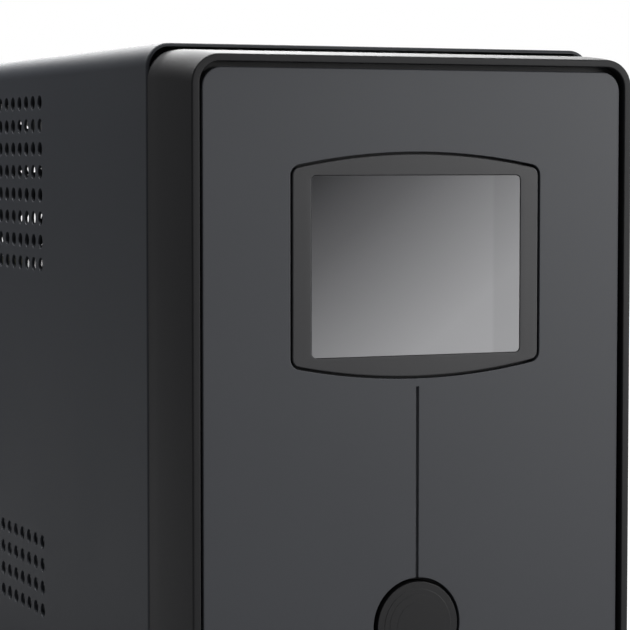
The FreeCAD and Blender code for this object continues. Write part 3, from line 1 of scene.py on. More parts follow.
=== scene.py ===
# A tower uninterruptible power supply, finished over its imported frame.
import json
import math
import bmesh
import bpy
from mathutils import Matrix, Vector


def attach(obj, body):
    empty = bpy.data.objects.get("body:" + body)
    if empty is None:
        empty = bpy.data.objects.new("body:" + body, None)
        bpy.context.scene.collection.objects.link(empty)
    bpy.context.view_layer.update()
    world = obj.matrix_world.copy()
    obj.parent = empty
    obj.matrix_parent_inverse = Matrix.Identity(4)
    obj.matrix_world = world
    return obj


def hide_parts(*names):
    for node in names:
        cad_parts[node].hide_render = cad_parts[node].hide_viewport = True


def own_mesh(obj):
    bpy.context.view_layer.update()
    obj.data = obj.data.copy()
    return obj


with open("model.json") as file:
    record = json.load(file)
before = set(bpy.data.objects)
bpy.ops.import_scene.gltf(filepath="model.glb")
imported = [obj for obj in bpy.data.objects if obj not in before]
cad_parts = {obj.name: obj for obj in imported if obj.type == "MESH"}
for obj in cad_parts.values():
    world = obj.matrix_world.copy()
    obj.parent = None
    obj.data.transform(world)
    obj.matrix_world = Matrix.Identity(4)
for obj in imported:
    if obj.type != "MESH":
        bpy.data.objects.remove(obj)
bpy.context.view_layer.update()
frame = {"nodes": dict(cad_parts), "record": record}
cadNodes = frame["nodes"]
mm = 0.001


# helpers that pick, draw out and join shapes; places are in millimetres
def pickObject(piece):
    if bpy.context.object and bpy.context.object.mode != "OBJECT":
        bpy.ops.object.mode_set(mode="OBJECT")
    for item in list(bpy.context.selected_objects):
        item.select_set(False)
    bpy.context.view_layer.objects.active = piece
    if piece:
        piece.select_set(True)


def settle(piece):
    # puts the piece's place, turn and scale into its mesh
    pickObject(piece)
    bpy.ops.object.transform_apply(location=True, rotation=True, scale=True)
    return piece


def addBlock(name, low, high):
    pickObject(None)
    middle = [(a + b) / 2 * mm for a, b in zip(low, high)]
    bpy.ops.mesh.primitive_cube_add(size=1, location=middle)
    piece = bpy.context.active_object
    piece.name = name
    piece.scale = [(b - a) * mm for a, b in zip(low, high)]
    return settle(piece)


def addRod(name, radius, centre, start, length, sides=64, axis="Y", radiusEnd=None):
    # centre is the other two places: (x, z) along Y, (x, y) along Z, (y, z) along X
    pickObject(None)
    middle = start + length / 2
    place = {"Y": (centre[0], middle, centre[1]), "Z": (centre[0], centre[1], middle),
             "X": (middle, centre[0], centre[1])}[axis]
    turn = {"Y": (-math.pi / 2, 0, 0), "Z": (0, 0, 0), "X": (0, math.pi / 2, 0)}[axis]
    farRadius = radius if radiusEnd is None else radiusEnd
    bpy.ops.mesh.primitive_cone_add(vertices=sides, radius1=radius * mm, radius2=farRadius * mm,
                                    depth=length * mm, location=[v * mm for v in place], rotation=turn)
    piece = bpy.context.active_object
    piece.name = name
    return settle(piece)


def pick(piece, kind, test):
    # opens the mesh and selects the faces, edges or corners that pass the test
    if bpy.context.view_layer.objects.active != piece or piece.mode != "EDIT":
        pickObject(piece)
        bpy.ops.object.mode_set(mode="EDIT")
    bpy.ops.mesh.select_mode(type=kind)
    bpy.ops.mesh.select_all(action="DESELECT")
    mesh = bmesh.from_edit_mesh(piece.data)
    mesh.faces.ensure_lookup_table()
    parts = {"FACE": mesh.faces, "EDGE": mesh.edges, "VERT": mesh.verts}[kind]
    chosen = [part for part in parts if test(part)]
    for part in chosen:
        part.select_set(True)
    bmesh.update_edit_mesh(piece.data)
    return len(chosen)


atPlane = 0.06  # how far from a plane still counts as on it


def facing(direction, at=None, axis=1):
    # faces that look one way, at one place along the axis if it's given
    wanted = Vector(direction)

    def test(face):
        middle = face.calc_center_median()
        return face.normal.dot(wanted) > 0.98 and (at is None or abs(middle[axis] - at * mm) < atPlane * mm)
    return test


def sharpAt(at, axis=1, least=0.6):
    # edges that lie in one plane and turn by more than the least angle
    def test(edge):
        ends = [v.co[axis] for v in edge.verts]
        return all(abs(e - at * mm) < atPlane * mm for e in ends) and edge.calc_face_angle(0) > least
    return test


def along(axis):
    # edges that run along one axis
    def test(edge):
        run = edge.verts[1].co - edge.verts[0].co
        return run.length > 0 and abs(run[axis]) > 0.999 * run.length
    return test


def roundPicked(offset, segments, clamp=True):
    bpy.ops.mesh.bevel(offset=offset * mm, segments=segments, affect="EDGES", clamp_overlap=clamp)


def drawOut(shift):
    bpy.ops.mesh.extrude_region_move(TRANSFORM_OT_translate={"value": [v * mm for v in shift]})


def setIn(thickness):
    bpy.ops.mesh.inset(thickness=thickness * mm, use_even_offset=True)


def stretch(factors, centre):
    bpy.ops.transform.resize(value=factors, center_override=[v * mm for v in centre])


def applied(piece, kind, **values):
    pickObject(piece)
    modifier = piece.modifiers.new(kind.title(), kind)
    for key, value in values.items():
        setattr(modifier, key, value)
    bpy.ops.object.modifier_apply(modifier=modifier.name)
    return piece


def cutAway(piece, *tools, how="DIFFERENCE"):
    for tool in tools:
        pickObject(tool)
        applied(piece, "BOOLEAN", object=tool, operation=how, solver="EXACT")
        bpy.data.objects.remove(tool, do_unlink=True)
    return piece


def soften(piece, width, segments=2, angle=34):
    return applied(piece, "BEVEL", width=width * mm, segments=segments, limit_method="ANGLE",
                   angle_limit=math.radians(angle), use_clamp_overlap=True)


def joined(name, pieces):
    pickObject(pieces[0])
    for item in pieces:
        item.select_set(True)
    bpy.ops.object.join()
    pieces[0].name = name
    return pieces[0]


def copied(piece, name, shift):
    twin = bpy.data.objects.new(name, piece.data.copy())
    bpy.context.scene.collection.objects.link(twin)
    for vertex in twin.data.vertices:
        vertex.co += Vector(shift) * mm
    return twin


def mergedCopy(node, name):
    # the node's own shape as one clean mesh of broad faces
    piece = bpy.data.objects.new(name, cadNodes[node].data.copy())
    bpy.context.scene.collection.objects.link(piece)
    pickObject(piece)
    bpy.ops.object.mode_set(mode="EDIT")
    bpy.ops.mesh.select_all(action="SELECT")
    bpy.ops.mesh.remove_doubles(threshold=0.0000015)
    bpy.ops.mesh.dissolve_limited(angle_limit=math.radians(0.4), delimit={"NORMAL"})
    bpy.ops.object.mode_set(mode="OBJECT")
    return piece


def refined(node, name, width, segments=2, angle=34):
    return soften(mergedCopy(node, name), width, segments, angle)


def finishPiece(piece, body, finish, slot, *covered, smooth=36):
    pickObject(piece)
    if piece.data.has_custom_normals:
        bpy.ops.mesh.customdata_custom_splitnormals_clear()
    bpy.ops.object.shade_smooth_by_angle(angle=math.radians(smooth))
    applied(piece, "WEIGHTED_NORMAL", mode="FACE_AREA", weight=100, keep_sharp=True)
    piece.data.materials.clear()
    piece.data.materials.append(finish)
    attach(piece, body)
    if covered:
        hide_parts(*covered)
    return piece


# effects shared by the finishes
def newGroup(name, inputs, outputs):
    tree = bpy.data.node_groups.new(name, "ShaderNodeTree")
    for label, kind, value in inputs:
        socket = tree.interface.new_socket(label, in_out="INPUT", socket_type=kind)
        socket.default_value = value
    for label, kind in outputs:
        tree.interface.new_socket(label, in_out="OUTPUT", socket_type=kind)
    return tree, tree.nodes.new("NodeGroupInput"), tree.nodes.new("NodeGroupOutput")


def addNode(tree, kind, **values):
    node = tree.nodes.new(kind)
    for key, value in values.items():
        setattr(node, key, value)
    return node


def mathNode(tree, operation, first, second=None, clamp=False):
    node = addNode(tree, "ShaderNodeMath", operation=operation, use_clamp=clamp)
    for index, value in enumerate((first, second)):
        if value is None:
            continue
        if isinstance(value, (int, float)):
            node.inputs[index].default_value = value
        else:
            tree.links.new(value, node.inputs[index])
    return node.outputs[0]


def buildGrainGroup():
    # fine surface texture, with a slow cloud for colour and roughness drift
    wanted = [("Scale", "NodeSocketFloat", 2500.0), ("Stretch", "NodeSocketVector", (1, 1, 1)),
              ("Pitting", "NodeSocketFloat", 0.3)]
    given = [("Height", "NodeSocketFloat"), ("Cloud", "NodeSocketFloat"), ("Fleck", "NodeSocketFloat")]
    tree, entry, leave = newGroup("surfaceGrain", wanted, given)
    coords = addNode(tree, "ShaderNodeTexCoord")
    stretchBy = addNode(tree, "ShaderNodeVectorMath", operation="MULTIPLY")
    tree.links.new(coords.outputs["Object"], stretchBy.inputs[0])
    tree.links.new(entry.outputs["Stretch"], stretchBy.inputs[1])
    fine = addNode(tree, "ShaderNodeTexNoise")
    fine.inputs["Detail"].default_value = 4
    fine.inputs["Roughness"].default_value = 0.62
    tree.links.new(stretchBy.outputs[0], fine.inputs["Vector"])
    tree.links.new(entry.outputs["Scale"], fine.inputs["Scale"])
    cells = addNode(tree, "ShaderNodeTexVoronoi", feature="SMOOTH_F1")
    tree.links.new(stretchBy.outputs[0], cells.inputs["Vector"])
    tree.links.new(mathNode(tree, "MULTIPLY", entry.outputs["Scale"], 0.55), cells.inputs["Scale"])
    pits = mathNode(tree, "MULTIPLY", cells.outputs["Distance"], entry.outputs["Pitting"])
    tree.links.new(mathNode(tree, "ADD", fine.outputs["Fac"], pits), leave.inputs["Height"])
    slow = addNode(tree, "ShaderNodeTexNoise")
    slow.inputs["Scale"].default_value = 14
    slow.inputs["Detail"].default_value = 5
    tree.links.new(coords.outputs["Object"], slow.inputs["Vector"])
    tree.links.new(slow.outputs["Fac"], leave.inputs["Cloud"])
    tree.links.new(mathNode(tree, "SUBTRACT", fine.outputs["Fac"], 0.5), leave.inputs["Fleck"])
    return tree


def buildWearAndHighlightGroup():
    # 1 on convex edges that hands and tables rub, broken up by noise; on the lens the same mask paints a
    # bright edge highlight
    wanted = [("Radius", "NodeSocketFloat", 0.0006), ("Amount", "NodeSocketFloat", 0.4)]
    tree, entry, leave = newGroup("edgeWearAndHighlight", wanted, [("Mask", "NodeSocketFloat")])
    softened = addNode(tree, "ShaderNodeBevel", samples=4)
    tree.links.new(entry.outputs["Radius"], softened.inputs["Radius"])
    plain = addNode(tree, "ShaderNodeNewGeometry")
    compare = addNode(tree, "ShaderNodeVectorMath", operation="DOT_PRODUCT")
    tree.links.new(softened.outputs[0], compare.inputs[0])
    tree.links.new(plain.outputs["Normal"], compare.inputs[1])
    edge = mathNode(tree, "MULTIPLY", mathNode(tree, "SUBTRACT", 1.0, compare.outputs["Value"]), 6.0, True)
    coords = addNode(tree, "ShaderNodeTexCoord")
    patches = addNode(tree, "ShaderNodeTexNoise")
    patches.inputs["Scale"].default_value = 160
    patches.inputs["Detail"].default_value = 6
    tree.links.new(coords.outputs["Object"], patches.inputs["Vector"])
    broken = mathNode(tree, "MULTIPLY", edge, patches.outputs["Fac"])
    tree.links.new(mathNode(tree, "MULTIPLY", broken, entry.outputs["Amount"], True), leave.inputs["Mask"])
    return tree


grainGroup = buildGrainGroup()
wearAndHighlightGroup = buildWearAndHighlightGroup()
print("shader groups ready")


def linear(grey):
    # a screen value of 0 to 255, or a triple of them, as scene light
    values = grey if isinstance(grey, (tuple, list)) else (grey, grey, grey)
    return [((v / 255 + 0.055) / 1.055) ** 2.4 if v > 10.3 else v / 255 / 12.92 for v in values] + [1]


def mixColour(tree, factor, first, second, blend="MIX"):
    node = addNode(tree, "ShaderNodeMix", data_type="RGBA", blend_type=blend)
    for index, value in ((0, factor), (6, first), (7, second)):
        if isinstance(value, (int, float, list, tuple)):
            node.inputs[index].default_value = value
        else:
            tree.links.new(value, node.inputs[index])
    return node.outputs[2]


def makeFinish(name, look, pattern=None):
    # a Principled surface with grain, drifting tone and roughness, and rubbed edges; on the lens the
    # rubbed-edge tone is a painted edge highlight
    material = bpy.data.materials.new(name)
    material.use_nodes = True
    tree = material.node_tree
    tree.nodes.clear()
    out = addNode(tree, "ShaderNodeOutputMaterial")
    shader = addNode(tree, "ShaderNodeBsdfPrincipled")
    tree.links.new(shader.outputs[0], out.inputs["Surface"])
    for label, value in look.get("sockets", {}).items():
        shader.inputs[label].default_value = value
    grain = addNode(tree, "ShaderNodeGroup", node_tree=grainGroup)
    grain.inputs["Scale"].default_value = look.get("grainScale", 2500.0)
    grain.inputs["Stretch"].default_value = look.get("stretch", (1, 1, 1))
    grain.inputs["Pitting"].default_value = look.get("pitting", 0.3)
    colour = mixColour(tree, grain.outputs["Cloud"], linear(look["dark"]), linear(look["light"]))
    height = grain.outputs["Height"]
    if pattern:
        colour, height = pattern(tree, colour, height)
    if look.get("fleck"):
        fleck = mathNode(tree, "MULTIPLY", grain.outputs["Fleck"], look["fleck"], True)
        colour = mixColour(tree, fleck, colour, linear(look.get("fleckTone", look["wearAndHighlightTone"])))
    wearAndHighlight = addNode(tree, "ShaderNodeGroup", node_tree=wearAndHighlightGroup)
    wearAndHighlight.inputs["Radius"].default_value = look.get("wearAndHighlightRadius", 0.0006)
    wearAndHighlight.inputs["Amount"].default_value = look.get("wearAndHighlight", 0.4)
    colour = mixColour(tree, wearAndHighlight.outputs["Mask"], colour, linear(look["wearAndHighlightTone"]))
    tree.links.new(colour, shader.inputs["Base Color"])
    low, high = look["roughness"]
    spread = mathNode(tree, "MULTIPLY", grain.outputs["Cloud"], high - low)
    rough = mathNode(tree, "ADD", spread, low)
    rough = mathNode(tree, "SUBTRACT", rough, mathNode(tree, "MULTIPLY", wearAndHighlight.outputs["Mask"], 0.12), True)
    tree.links.new(rough, shader.inputs["Roughness"])
    bump = addNode(tree, "ShaderNodeBump")
    bump.inputs["Strength"].default_value = look.get("bump", 0.35)
    bump.inputs["Distance"].default_value = look.get("bumpDepth", 0.00006)
    tree.links.new(height, bump.inputs["Height"])
    tree.links.new(bump.outputs[0], shader.inputs["Normal"])
    return material


def axisBands(axis, perMetre, depth, darker):
    # even bands across one axis, for laminations, windings and ribs
    def pattern(tree, colour, height):
        coords = addNode(tree, "ShaderNodeTexCoord")
        bands = addNode(tree, "ShaderNodeTexWave", wave_type="BANDS", bands_direction=axis)
        bands.inputs["Scale"].default_value = perMetre
        bands.inputs["Distortion"].default_value = 0.4
        bands.inputs["Detail Scale"].default_value = 3
        tree.links.new(coords.outputs["Object"], bands.inputs["Vector"])
        tone = mixColour(tree, bands.outputs["Fac"], linear(darker), colour)
        lift = mathNode(tree, "ADD", height, mathNode(tree, "MULTIPLY", bands.outputs["Fac"], depth))
        return tone, lift
    return pattern


def boardTraces(tree, colour, height):
    # copper tracks under green mask
    coords = addNode(tree, "ShaderNodeTexCoord")
    tracks = addNode(tree, "ShaderNodeTexVoronoi", distance="MANHATTAN", feature="F2")
    tracks.inputs["Scale"].default_value = 210
    tree.links.new(coords.outputs["Object"], tracks.inputs["Vector"])
    line = mathNode(tree, "PINGPONG", tracks.outputs["Distance"], 0.11)
    mask = mathNode(tree, "GREATER_THAN", line, 0.075)
    tone = mixColour(tree, mask, colour, linear((44, 122, 62)))
    return tone, mathNode(tree, "ADD", height, mask)


looks = {
    "case_steel": dict(dark=(42, 45, 51), light=(47, 50, 56), wearAndHighlightTone=(92, 93, 96), roughness=(0.5, 0.6),
                       grainScale=2600.0, bump=0.42, bumpDepth=0.00005, fleck=0.5, fleckTone=(64, 65, 68),
                       wearAndHighlight=0.35, sockets={"Specular IOR Level": 0.5}),
    "bezel_plastic": dict(dark=(28, 28, 30), light=(33, 33, 35), wearAndHighlightTone=(60, 60, 62),
                          roughness=(0.48, 0.58),
                          grainScale=3600.0, bump=0.3, bumpDepth=0.00004, wearAndHighlight=0.3,
                          sockets={"Specular IOR Level": 0.38}),
    "plate_plastic": dict(dark=(69, 71, 76), light=(75, 77, 82), wearAndHighlightTone=(120, 121, 125),
                          roughness=(0.40, 0.5), grainScale=3800.0, bump=0.3, bumpDepth=0.00004, wearAndHighlight=0.25),
    "display_plastic": dict(dark=(60, 60, 62), light=(66, 66, 68), wearAndHighlightTone=(110, 110, 112),
                            roughness=(0.34, 0.44), grainScale=3800.0, bump=0.22, bumpDepth=0.00003,
                            wearAndHighlight=0.25),
    "button_plastic": dict(dark=(26, 26, 28), light=(31, 31, 33), wearAndHighlightTone=(70, 70, 72),
                           roughness=(0.34, 0.42),
                           grainScale=3800.0, bump=0.2, bumpDepth=0.00003, wearAndHighlight=0.3),
    "circuit_board": dict(dark=(16, 84, 42), light=(22, 98, 50), wearAndHighlightTone=(190, 176, 120),
                          roughness=(0.28, 0.4),
                          grainScale=1800.0, bump=0.2, wearAndHighlight=0.3),
    "zinc_steel": dict(dark=(150, 152, 156), light=(176, 178, 182), wearAndHighlightTone=(215, 216, 218),
                       roughness=(0.3, 0.42),
                       grainScale=900.0, stretch=(1, 9, 1), bump=0.15, wearAndHighlight=0.4, sockets={"Metallic": 1.0}),
    "screw_steel": dict(dark=(40, 40, 42), light=(54, 54, 57), wearAndHighlightTone=(150, 150, 152),
                        roughness=(0.28, 0.4),
                        grainScale=3000.0, bump=0.15, wearAndHighlight=0.5, sockets={"Metallic": 0.9}),
    "battery_case": dict(dark=(34, 35, 38), light=(42, 43, 46), wearAndHighlightTone=(90, 90, 94), roughness=(0.42, 0.55),
                         grainScale=2200.0, bump=0.35, wearAndHighlight=0.4),
    "contact_brass": dict(dark=(176, 140, 70), light=(200, 164, 88), wearAndHighlightTone=(226, 200, 140),
                          roughness=(0.24, 0.36), grainScale=1500.0, stretch=(1, 1, 8), bump=0.12, wearAndHighlight=0.5,
                          sockets={"Metallic": 1.0}),
    "core_steel": dict(dark=(66, 64, 62), light=(84, 82, 80), wearAndHighlightTone=(150, 146, 140), roughness=(0.4, 0.55),
                       grainScale=1600.0, bump=0.5, bumpDepth=0.00015, wearAndHighlight=0.5, sockets={"Metallic": 0.7}),
    "winding_copper": dict(dark=(150, 76, 34), light=(182, 98, 48), wearAndHighlightTone=(220, 150, 96),
                           roughness=(0.24, 0.34),
                           grainScale=1600.0, bump=0.8, bumpDepth=0.0003, wearAndHighlight=0.4,
                           sockets={"Metallic": 0.85}),
    "bobbin_plastic": dict(dark=(176, 172, 158), light=(192, 188, 174), wearAndHighlightTone=(214, 210, 200),
                           roughness=(0.4, 0.52), grainScale=2400.0, bump=0.25, wearAndHighlight=0.3),
    "sink_aluminium": dict(dark=(158, 160, 164), light=(184, 186, 190), wearAndHighlightTone=(224, 225, 228),
                           roughness=(0.3, 0.42), grainScale=800.0, stretch=(12, 1, 12), bump=0.3, wearAndHighlight=0.4,
                           sockets={"Metallic": 1.0}),
    "component_plastic": dict(dark=(22, 22, 24), light=(30, 30, 33), wearAndHighlightTone=(80, 80, 84),
                              roughness=(0.28, 0.38),
                              grainScale=3000.0, bump=0.25, wearAndHighlight=0.35),
    "capacitor_sleeve": dict(dark=(18, 26, 56), light=(26, 36, 74), wearAndHighlightTone=(90, 100, 140),
                             roughness=(0.16, 0.24),
                             grainScale=1200.0, bump=0.12, wearAndHighlight=0.3),
    "connector_plastic": dict(dark=(214, 208, 190), light=(228, 222, 206), wearAndHighlightTone=(240, 236, 226),
                              roughness=(0.28, 0.38), grainScale=2400.0, bump=0.15, wearAndHighlight=0.3),
    "fan_plastic": dict(dark=(20, 20, 21), light=(27, 27, 28), wearAndHighlightTone=(66, 66, 68), roughness=(0.36, 0.46),
                        grainScale=3200.0, bump=0.25, wearAndHighlight=0.3),
    "foot_rubber": dict(dark=(20, 20, 20), light=(29, 29, 28), wearAndHighlightTone=(64, 62, 60), roughness=(0.7, 0.85),
                        grainScale=1500.0, pitting=0.8, bump=0.6, bumpDepth=0.00012, wearAndHighlight=0.5),
    "socket_plastic": dict(dark=(22, 22, 24), light=(28, 28, 30), wearAndHighlightTone=(76, 76, 78), roughness=(0.3, 0.4),
                           grainScale=3000.0, bump=0.22, wearAndHighlight=0.4),
    "lead_red": dict(dark=(150, 18, 16), light=(178, 28, 24), wearAndHighlightTone=(210, 80, 70), roughness=(0.34, 0.46),
                     grainScale=1400.0, bump=0.2, wearAndHighlight=0.2),
    "lead_black": dict(dark=(20, 20, 20), light=(28, 28, 28), wearAndHighlightTone=(70, 70, 70), roughness=(0.34, 0.46),
                       grainScale=1400.0, bump=0.2, wearAndHighlight=0.2),
    "lead_grey": dict(dark=(118, 119, 122), light=(136, 137, 140), wearAndHighlightTone=(170, 170, 174),
                      roughness=(0.36, 0.48),
                      grainScale=1400.0, bump=0.2, wearAndHighlight=0.2),
}
patterns = {"core_steel": axisBands("Y", 320, 1.2, (30, 28, 27)),
            "winding_copper": axisBands("Z", 190, 2.0, (70, 32, 14)),
            "circuit_board": boardTraces}
finishes = {name: makeFinish(name, look, patterns.get(name)) for name, look in looks.items()}


# where the painted reflection on the display sits, and how its darker painted reflected strip is drawn
screenReflectionPaint = dict(left=-0.0335, top=0.1668, width=0.067, height=0.0524, strip=0.0242, stripSharp=900.0,
                  stripShare=0.09, reflectedStripGrey=20)
reflectionGradientStops = [(0.0, (73, 73, 75)), (0.25, (125, 125, 127)), (0.5, (171, 171, 173)),
               (0.75, (206, 206, 208)), (1.0, (213, 213, 215))]


def paintedScreenReflection(tree, colour, height):
    # a painted reflection: the colour rises from dark at the upper left to light at the lower right, with a
    # darker painted reflected strip at the right
    coords = addNode(tree, "ShaderNodeTexCoord")
    split = addNode(tree, "ShaderNodeSeparateXYZ")
    tree.links.new(coords.outputs["Object"], split.inputs[0])
    fromLeft = mathNode(tree, "SUBTRACT", split.outputs["X"], screenReflectionPaint["left"])
    fromTop = mathNode(tree, "SUBTRACT", screenReflectionPaint["top"], split.outputs["Z"])
    across = mathNode(tree, "MULTIPLY", fromLeft, 0.5 / screenReflectionPaint["width"])
    down = mathNode(tree, "MULTIPLY", fromTop, 0.5 / screenReflectionPaint["height"])
    ramp = addNode(tree, "ShaderNodeValToRGB")
    stops = ramp.color_ramp.elements
    for place, shade in reflectionGradientStops[1:-1]:
        stops.new(place)
    for stop, (place, shade) in zip(sorted(stops, key=lambda e: e.position), reflectionGradientStops):
        stop.position = place
        stop.color = linear(shade)
    tree.links.new(mathNode(tree, "ADD", across, down), ramp.inputs[0])
    pastStrip = mathNode(tree, "SUBTRACT", split.outputs["X"], screenReflectionPaint["strip"])
    inStrip = mathNode(tree, "MULTIPLY", pastStrip, screenReflectionPaint["stripSharp"], True)
    reflectedStripMix = mathNode(tree, "MULTIPLY", inStrip, screenReflectionPaint["stripShare"])
    return mixColour(tree, reflectedStripMix, ramp.outputs[0], linear(screenReflectionPaint["reflectedStripGrey"])), height


# the display film's colour is the painted reflection gradient
finishes["display_glass"] = makeFinish("display_glass", dict(
    dark=60, light=62, wearAndHighlightTone=(90, 90, 92), roughness=(0.3, 0.36), grainScale=5200.0, bump=0.05, wearAndHighlight=0.1,
    sockets={"Specular IOR Level": 0.3}), paintedScreenReflection)
# the smoked lens also carries the painted reflection gradient, and its light rubbed-edge tone paints a bright
# highlight along its edges
finishes["lens_clear"] = makeFinish("lens_clear", dict(
    dark=(30, 30, 32), light=(34, 34, 36), wearAndHighlightTone=(190, 190, 194), roughness=(0.1, 0.14), grainScale=900.0,
    bump=0.02, wearAndHighlight=0.8, wearAndHighlightRadius=0.0003,
    sockets={"Alpha": 0.95, "Specular IOR Level": 0.4}), paintedScreenReflection)
# nodes that no new piece replaces keep their CAD shape and take their slot's finish
for node, cadPiece in cadNodes.items():
    wanted = next(s["material_slot"] for s in frame["record"]["subparts"] if s["node"] == node)
    for place in range(max(1, len(cadPiece.material_slots))):
        if place < len(cadPiece.material_slots):
            cadPiece.material_slots[place].material = finishes[wanted]
        else:
            cadPiece.data.materials.append(finishes[wanted])
print("finishes ready")


# the front
bezelSizes = dict(half=72.7, bottom=5.3, top=202.9, bandBack=-168.8, bandFront=-174.5, rimFront=-198.5,
                  lipHalf=71.9, lipBottom=6.1, lipBack=-164.5, lipWall=2.2, corner=8.7,
                  drawSide=2.4, drawTop=2.0, steps=8, rim=2.4, rimRise=0.3, recess=4.2, hollow=26.8,
                  edge=0.5, innerEdge=0.3,
                  window=(31.05, 23.7), buttonHole=13.1, wallFront=-196, wallThick=8,
                  boss=3, bossFront=-191.6, bossLong=9.5, bossBore=1.5, boreFront=-188,
                  bossSpots=[(x, z) for x in (-37.5, 37.5) for z in (18.1, 176.2)],
                  tab=(69.7, 70.7), tabFront=-166, tabBack=-157.5, tabTall=16, tabLows=(34, 156.9))
displayMiddle = 140.65
buttonHeight = 35.4


def roundedBlock(name, low, high, radius, segments=8):
    piece = addBlock(name, low, high)
    pick(piece, "EDGE", along(1))
    roundPicked(radius, segments)
    return piece


def frontBezel(size):
    bezel = roundedBlock("frontBezel", (-size["half"], size["bandFront"], size["bottom"]),
                         (size["half"], size["bandBack"], size["top"]), size["corner"], 10)
    middle = (size["bottom"] + size["top"]) / 2
    tall = size["top"] - size["bottom"]
    pick(bezel, "FACE", facing((0, -1, 0), size["bandFront"]))
    run = size["bandFront"] - size["rimFront"]
    halfX, halfZ = size["half"], tall / 2
    for step in range(1, size["steps"] + 1):
        share = step / size["steps"]
        drawn = 0.44 * share + 0.56 * share * share  # a straight start that bends inwards
        newX = size["half"] - size["drawSide"] * drawn
        newZ = tall / 2 - size["drawTop"] * drawn
        drawOut((0, -run / size["steps"], 0))
        stretch((newX / halfX, 1, newZ / halfZ), (0, 0, middle))
        halfX, halfZ = newX, newZ
    setIn(size["rim"])
    for vertex in bmesh.from_edit_mesh(bezel.data).verts:
        if vertex.select and vertex.co.z > middle * mm:
            vertex.co.z += size["rimRise"] * mm  # the rim is thinner along its top
    drawOut((0, size["recess"], 0))
    # the lip steps in so that it slides under the cover
    pick(bezel, "FACE", facing((0, 1, 0), size["bandBack"]))
    drawOut((0, 0, 0))
    narrower, lower = size["lipHalf"] / size["half"], (size["top"] - size["lipBottom"]) / tall
    stretch((narrower, 1, lower), (0, 0, size["top"]))
    drawOut((0, size["lipBack"] - size["bandBack"], 0))
    setIn(size["lipWall"])
    drawOut((0, -size["hollow"], 0))
    bpy.ops.mesh.select_all(action="SELECT")
    bpy.ops.mesh.remove_doubles(threshold=0.000004)
    outer = sharpAt(size["rimFront"])
    reach = (size["half"] - size["drawSide"] - size["rim"] / 2) * mm
    rise = (tall / 2 - size["drawTop"] - size["rim"] / 2) * mm

    def isOuter(edge):
        spot = (edge.verts[0].co + edge.verts[1].co) / 2
        return outer(edge) and (abs(spot.x) > reach or abs(spot.z - middle * mm) > rise)
    pick(bezel, "EDGE", isOuter)
    roundPicked(size["edge"], 4)
    pick(bezel, "EDGE", outer)
    roundPicked(size["innerEdge"], 3)
    reachX, reachZ = size["window"]
    window = addBlock("cutter", (-reachX, size["wallFront"], displayMiddle - reachZ),
                      (reachX, size["wallFront"] + size["wallThick"], displayMiddle + reachZ))
    hole = addRod("cutter", size["buttonHole"], (0, buttonHeight), size["wallFront"], size["wallThick"])
    cutAway(bezel, window, hole)
    bosses = [addRod("boss", size["boss"], spot, size["bossFront"], size["bossLong"], 32)
              for spot in size["bossSpots"]]
    tabs = [addBlock("tab", *tabCorners(size, side, low)) for side in (-1, 1) for low in size["tabLows"]]
    cutAway(bezel, *bosses, *tabs, how="UNION")
    bores = [addRod("cutter", size["bossBore"], spot, size["boreFront"], 8, 24) for spot in size["bossSpots"]]
    cutAway(bezel, *bores)
    return finishPiece(bezel, "root", finishes["bezel_plastic"], "bezel_plastic", "front_bezel")


def tabCorners(size, side, low):
    # the low and high corners of a snap tab on the left (-1) or right (1)
    ends = sorted(end * side for end in size["tab"])
    return (ends[0], size["tabFront"], low), (ends[1], size["tabBack"], low + size["tabTall"])


barrelSizes = dict(half=39.7, side=28.35, crown=4.2, cuts=23)


def barrelBlock(name, margin, front, back, corner):
    # upright sides with a gently arched top and bottom
    half = barrelSizes["half"] + margin
    side = barrelSizes["side"] + margin
    crown = barrelSizes["crown"]
    radius = (half * half + crown * crown) / (2 * crown)
    piece = addBlock(name, (-half, front, displayMiddle - side), (half, back, displayMiddle + side))
    pick(piece, "EDGE", along(0))
    bpy.ops.mesh.subdivide(number_cuts=barrelSizes["cuts"])
    pick(piece, "VERT", lambda v: abs(v.co.x) < (half - 0.01) * mm)
    for vertex in bmesh.from_edit_mesh(piece.data).verts:
        rise = math.sqrt(radius ** 2 - (vertex.co.x / mm) ** 2) - (radius - crown)
        vertex.co.z += math.copysign(max(rise, 0) * mm, vertex.co.z - displayMiddle * mm)
    bmesh.update_edit_mesh(piece.data)

    def isCorner(edge):
        return along(1)(edge) and abs(abs(edge.verts[0].co.x) - half * mm) < 0.00002
    pick(piece, "EDGE", isCorner)
    roundPicked(corner, 5)
    return piece


plateSizes = dict(half=66.8, bottom=10.8, top=197.3, front=-197.3, back=-194.3, corner=5.8, edge=0.4,
                  holeRadius=13.9, groove=0.85, grooveDepth=0.8, grooveTop=105.35, displayGap=0.35)


def frontPlate(size):
    plate = roundedBlock("frontPlate", (-size["half"], size["front"], size["bottom"]),
                         (size["half"], size["back"], size["top"]), size["corner"], 10)
    pick(plate, "EDGE", sharpAt(size["front"]))
    roundPicked(size["edge"], 4)
    opening = barrelBlock("cutter", size["displayGap"], size["front"] - 1, size["back"] + 1, 2.5)
    hole = addRod("cutter", size["holeRadius"], (0, buttonHeight), size["front"] - 1, 5, 96)
    grooveHalf, grooveLow = size["groove"] / 2, buttonHeight + buttonSizes["radius"]
    groove = addBlock("cutter", (-grooveHalf, size["front"] - 1, grooveLow),
                      (grooveHalf, size["front"] + size["grooveDepth"], size["grooveTop"]))
    cutAway(plate, opening, hole, groove)
    soften(plate, 0.22, 2, 50)
    return finishPiece(plate, "root", finishes["plate_plastic"], "plate_plastic", "front_plate")


screenSizes = dict(width=67.1, height=52.4, corner=1.5, ledge=2.5, lensFront=-197.1, lensBack=-195.5)


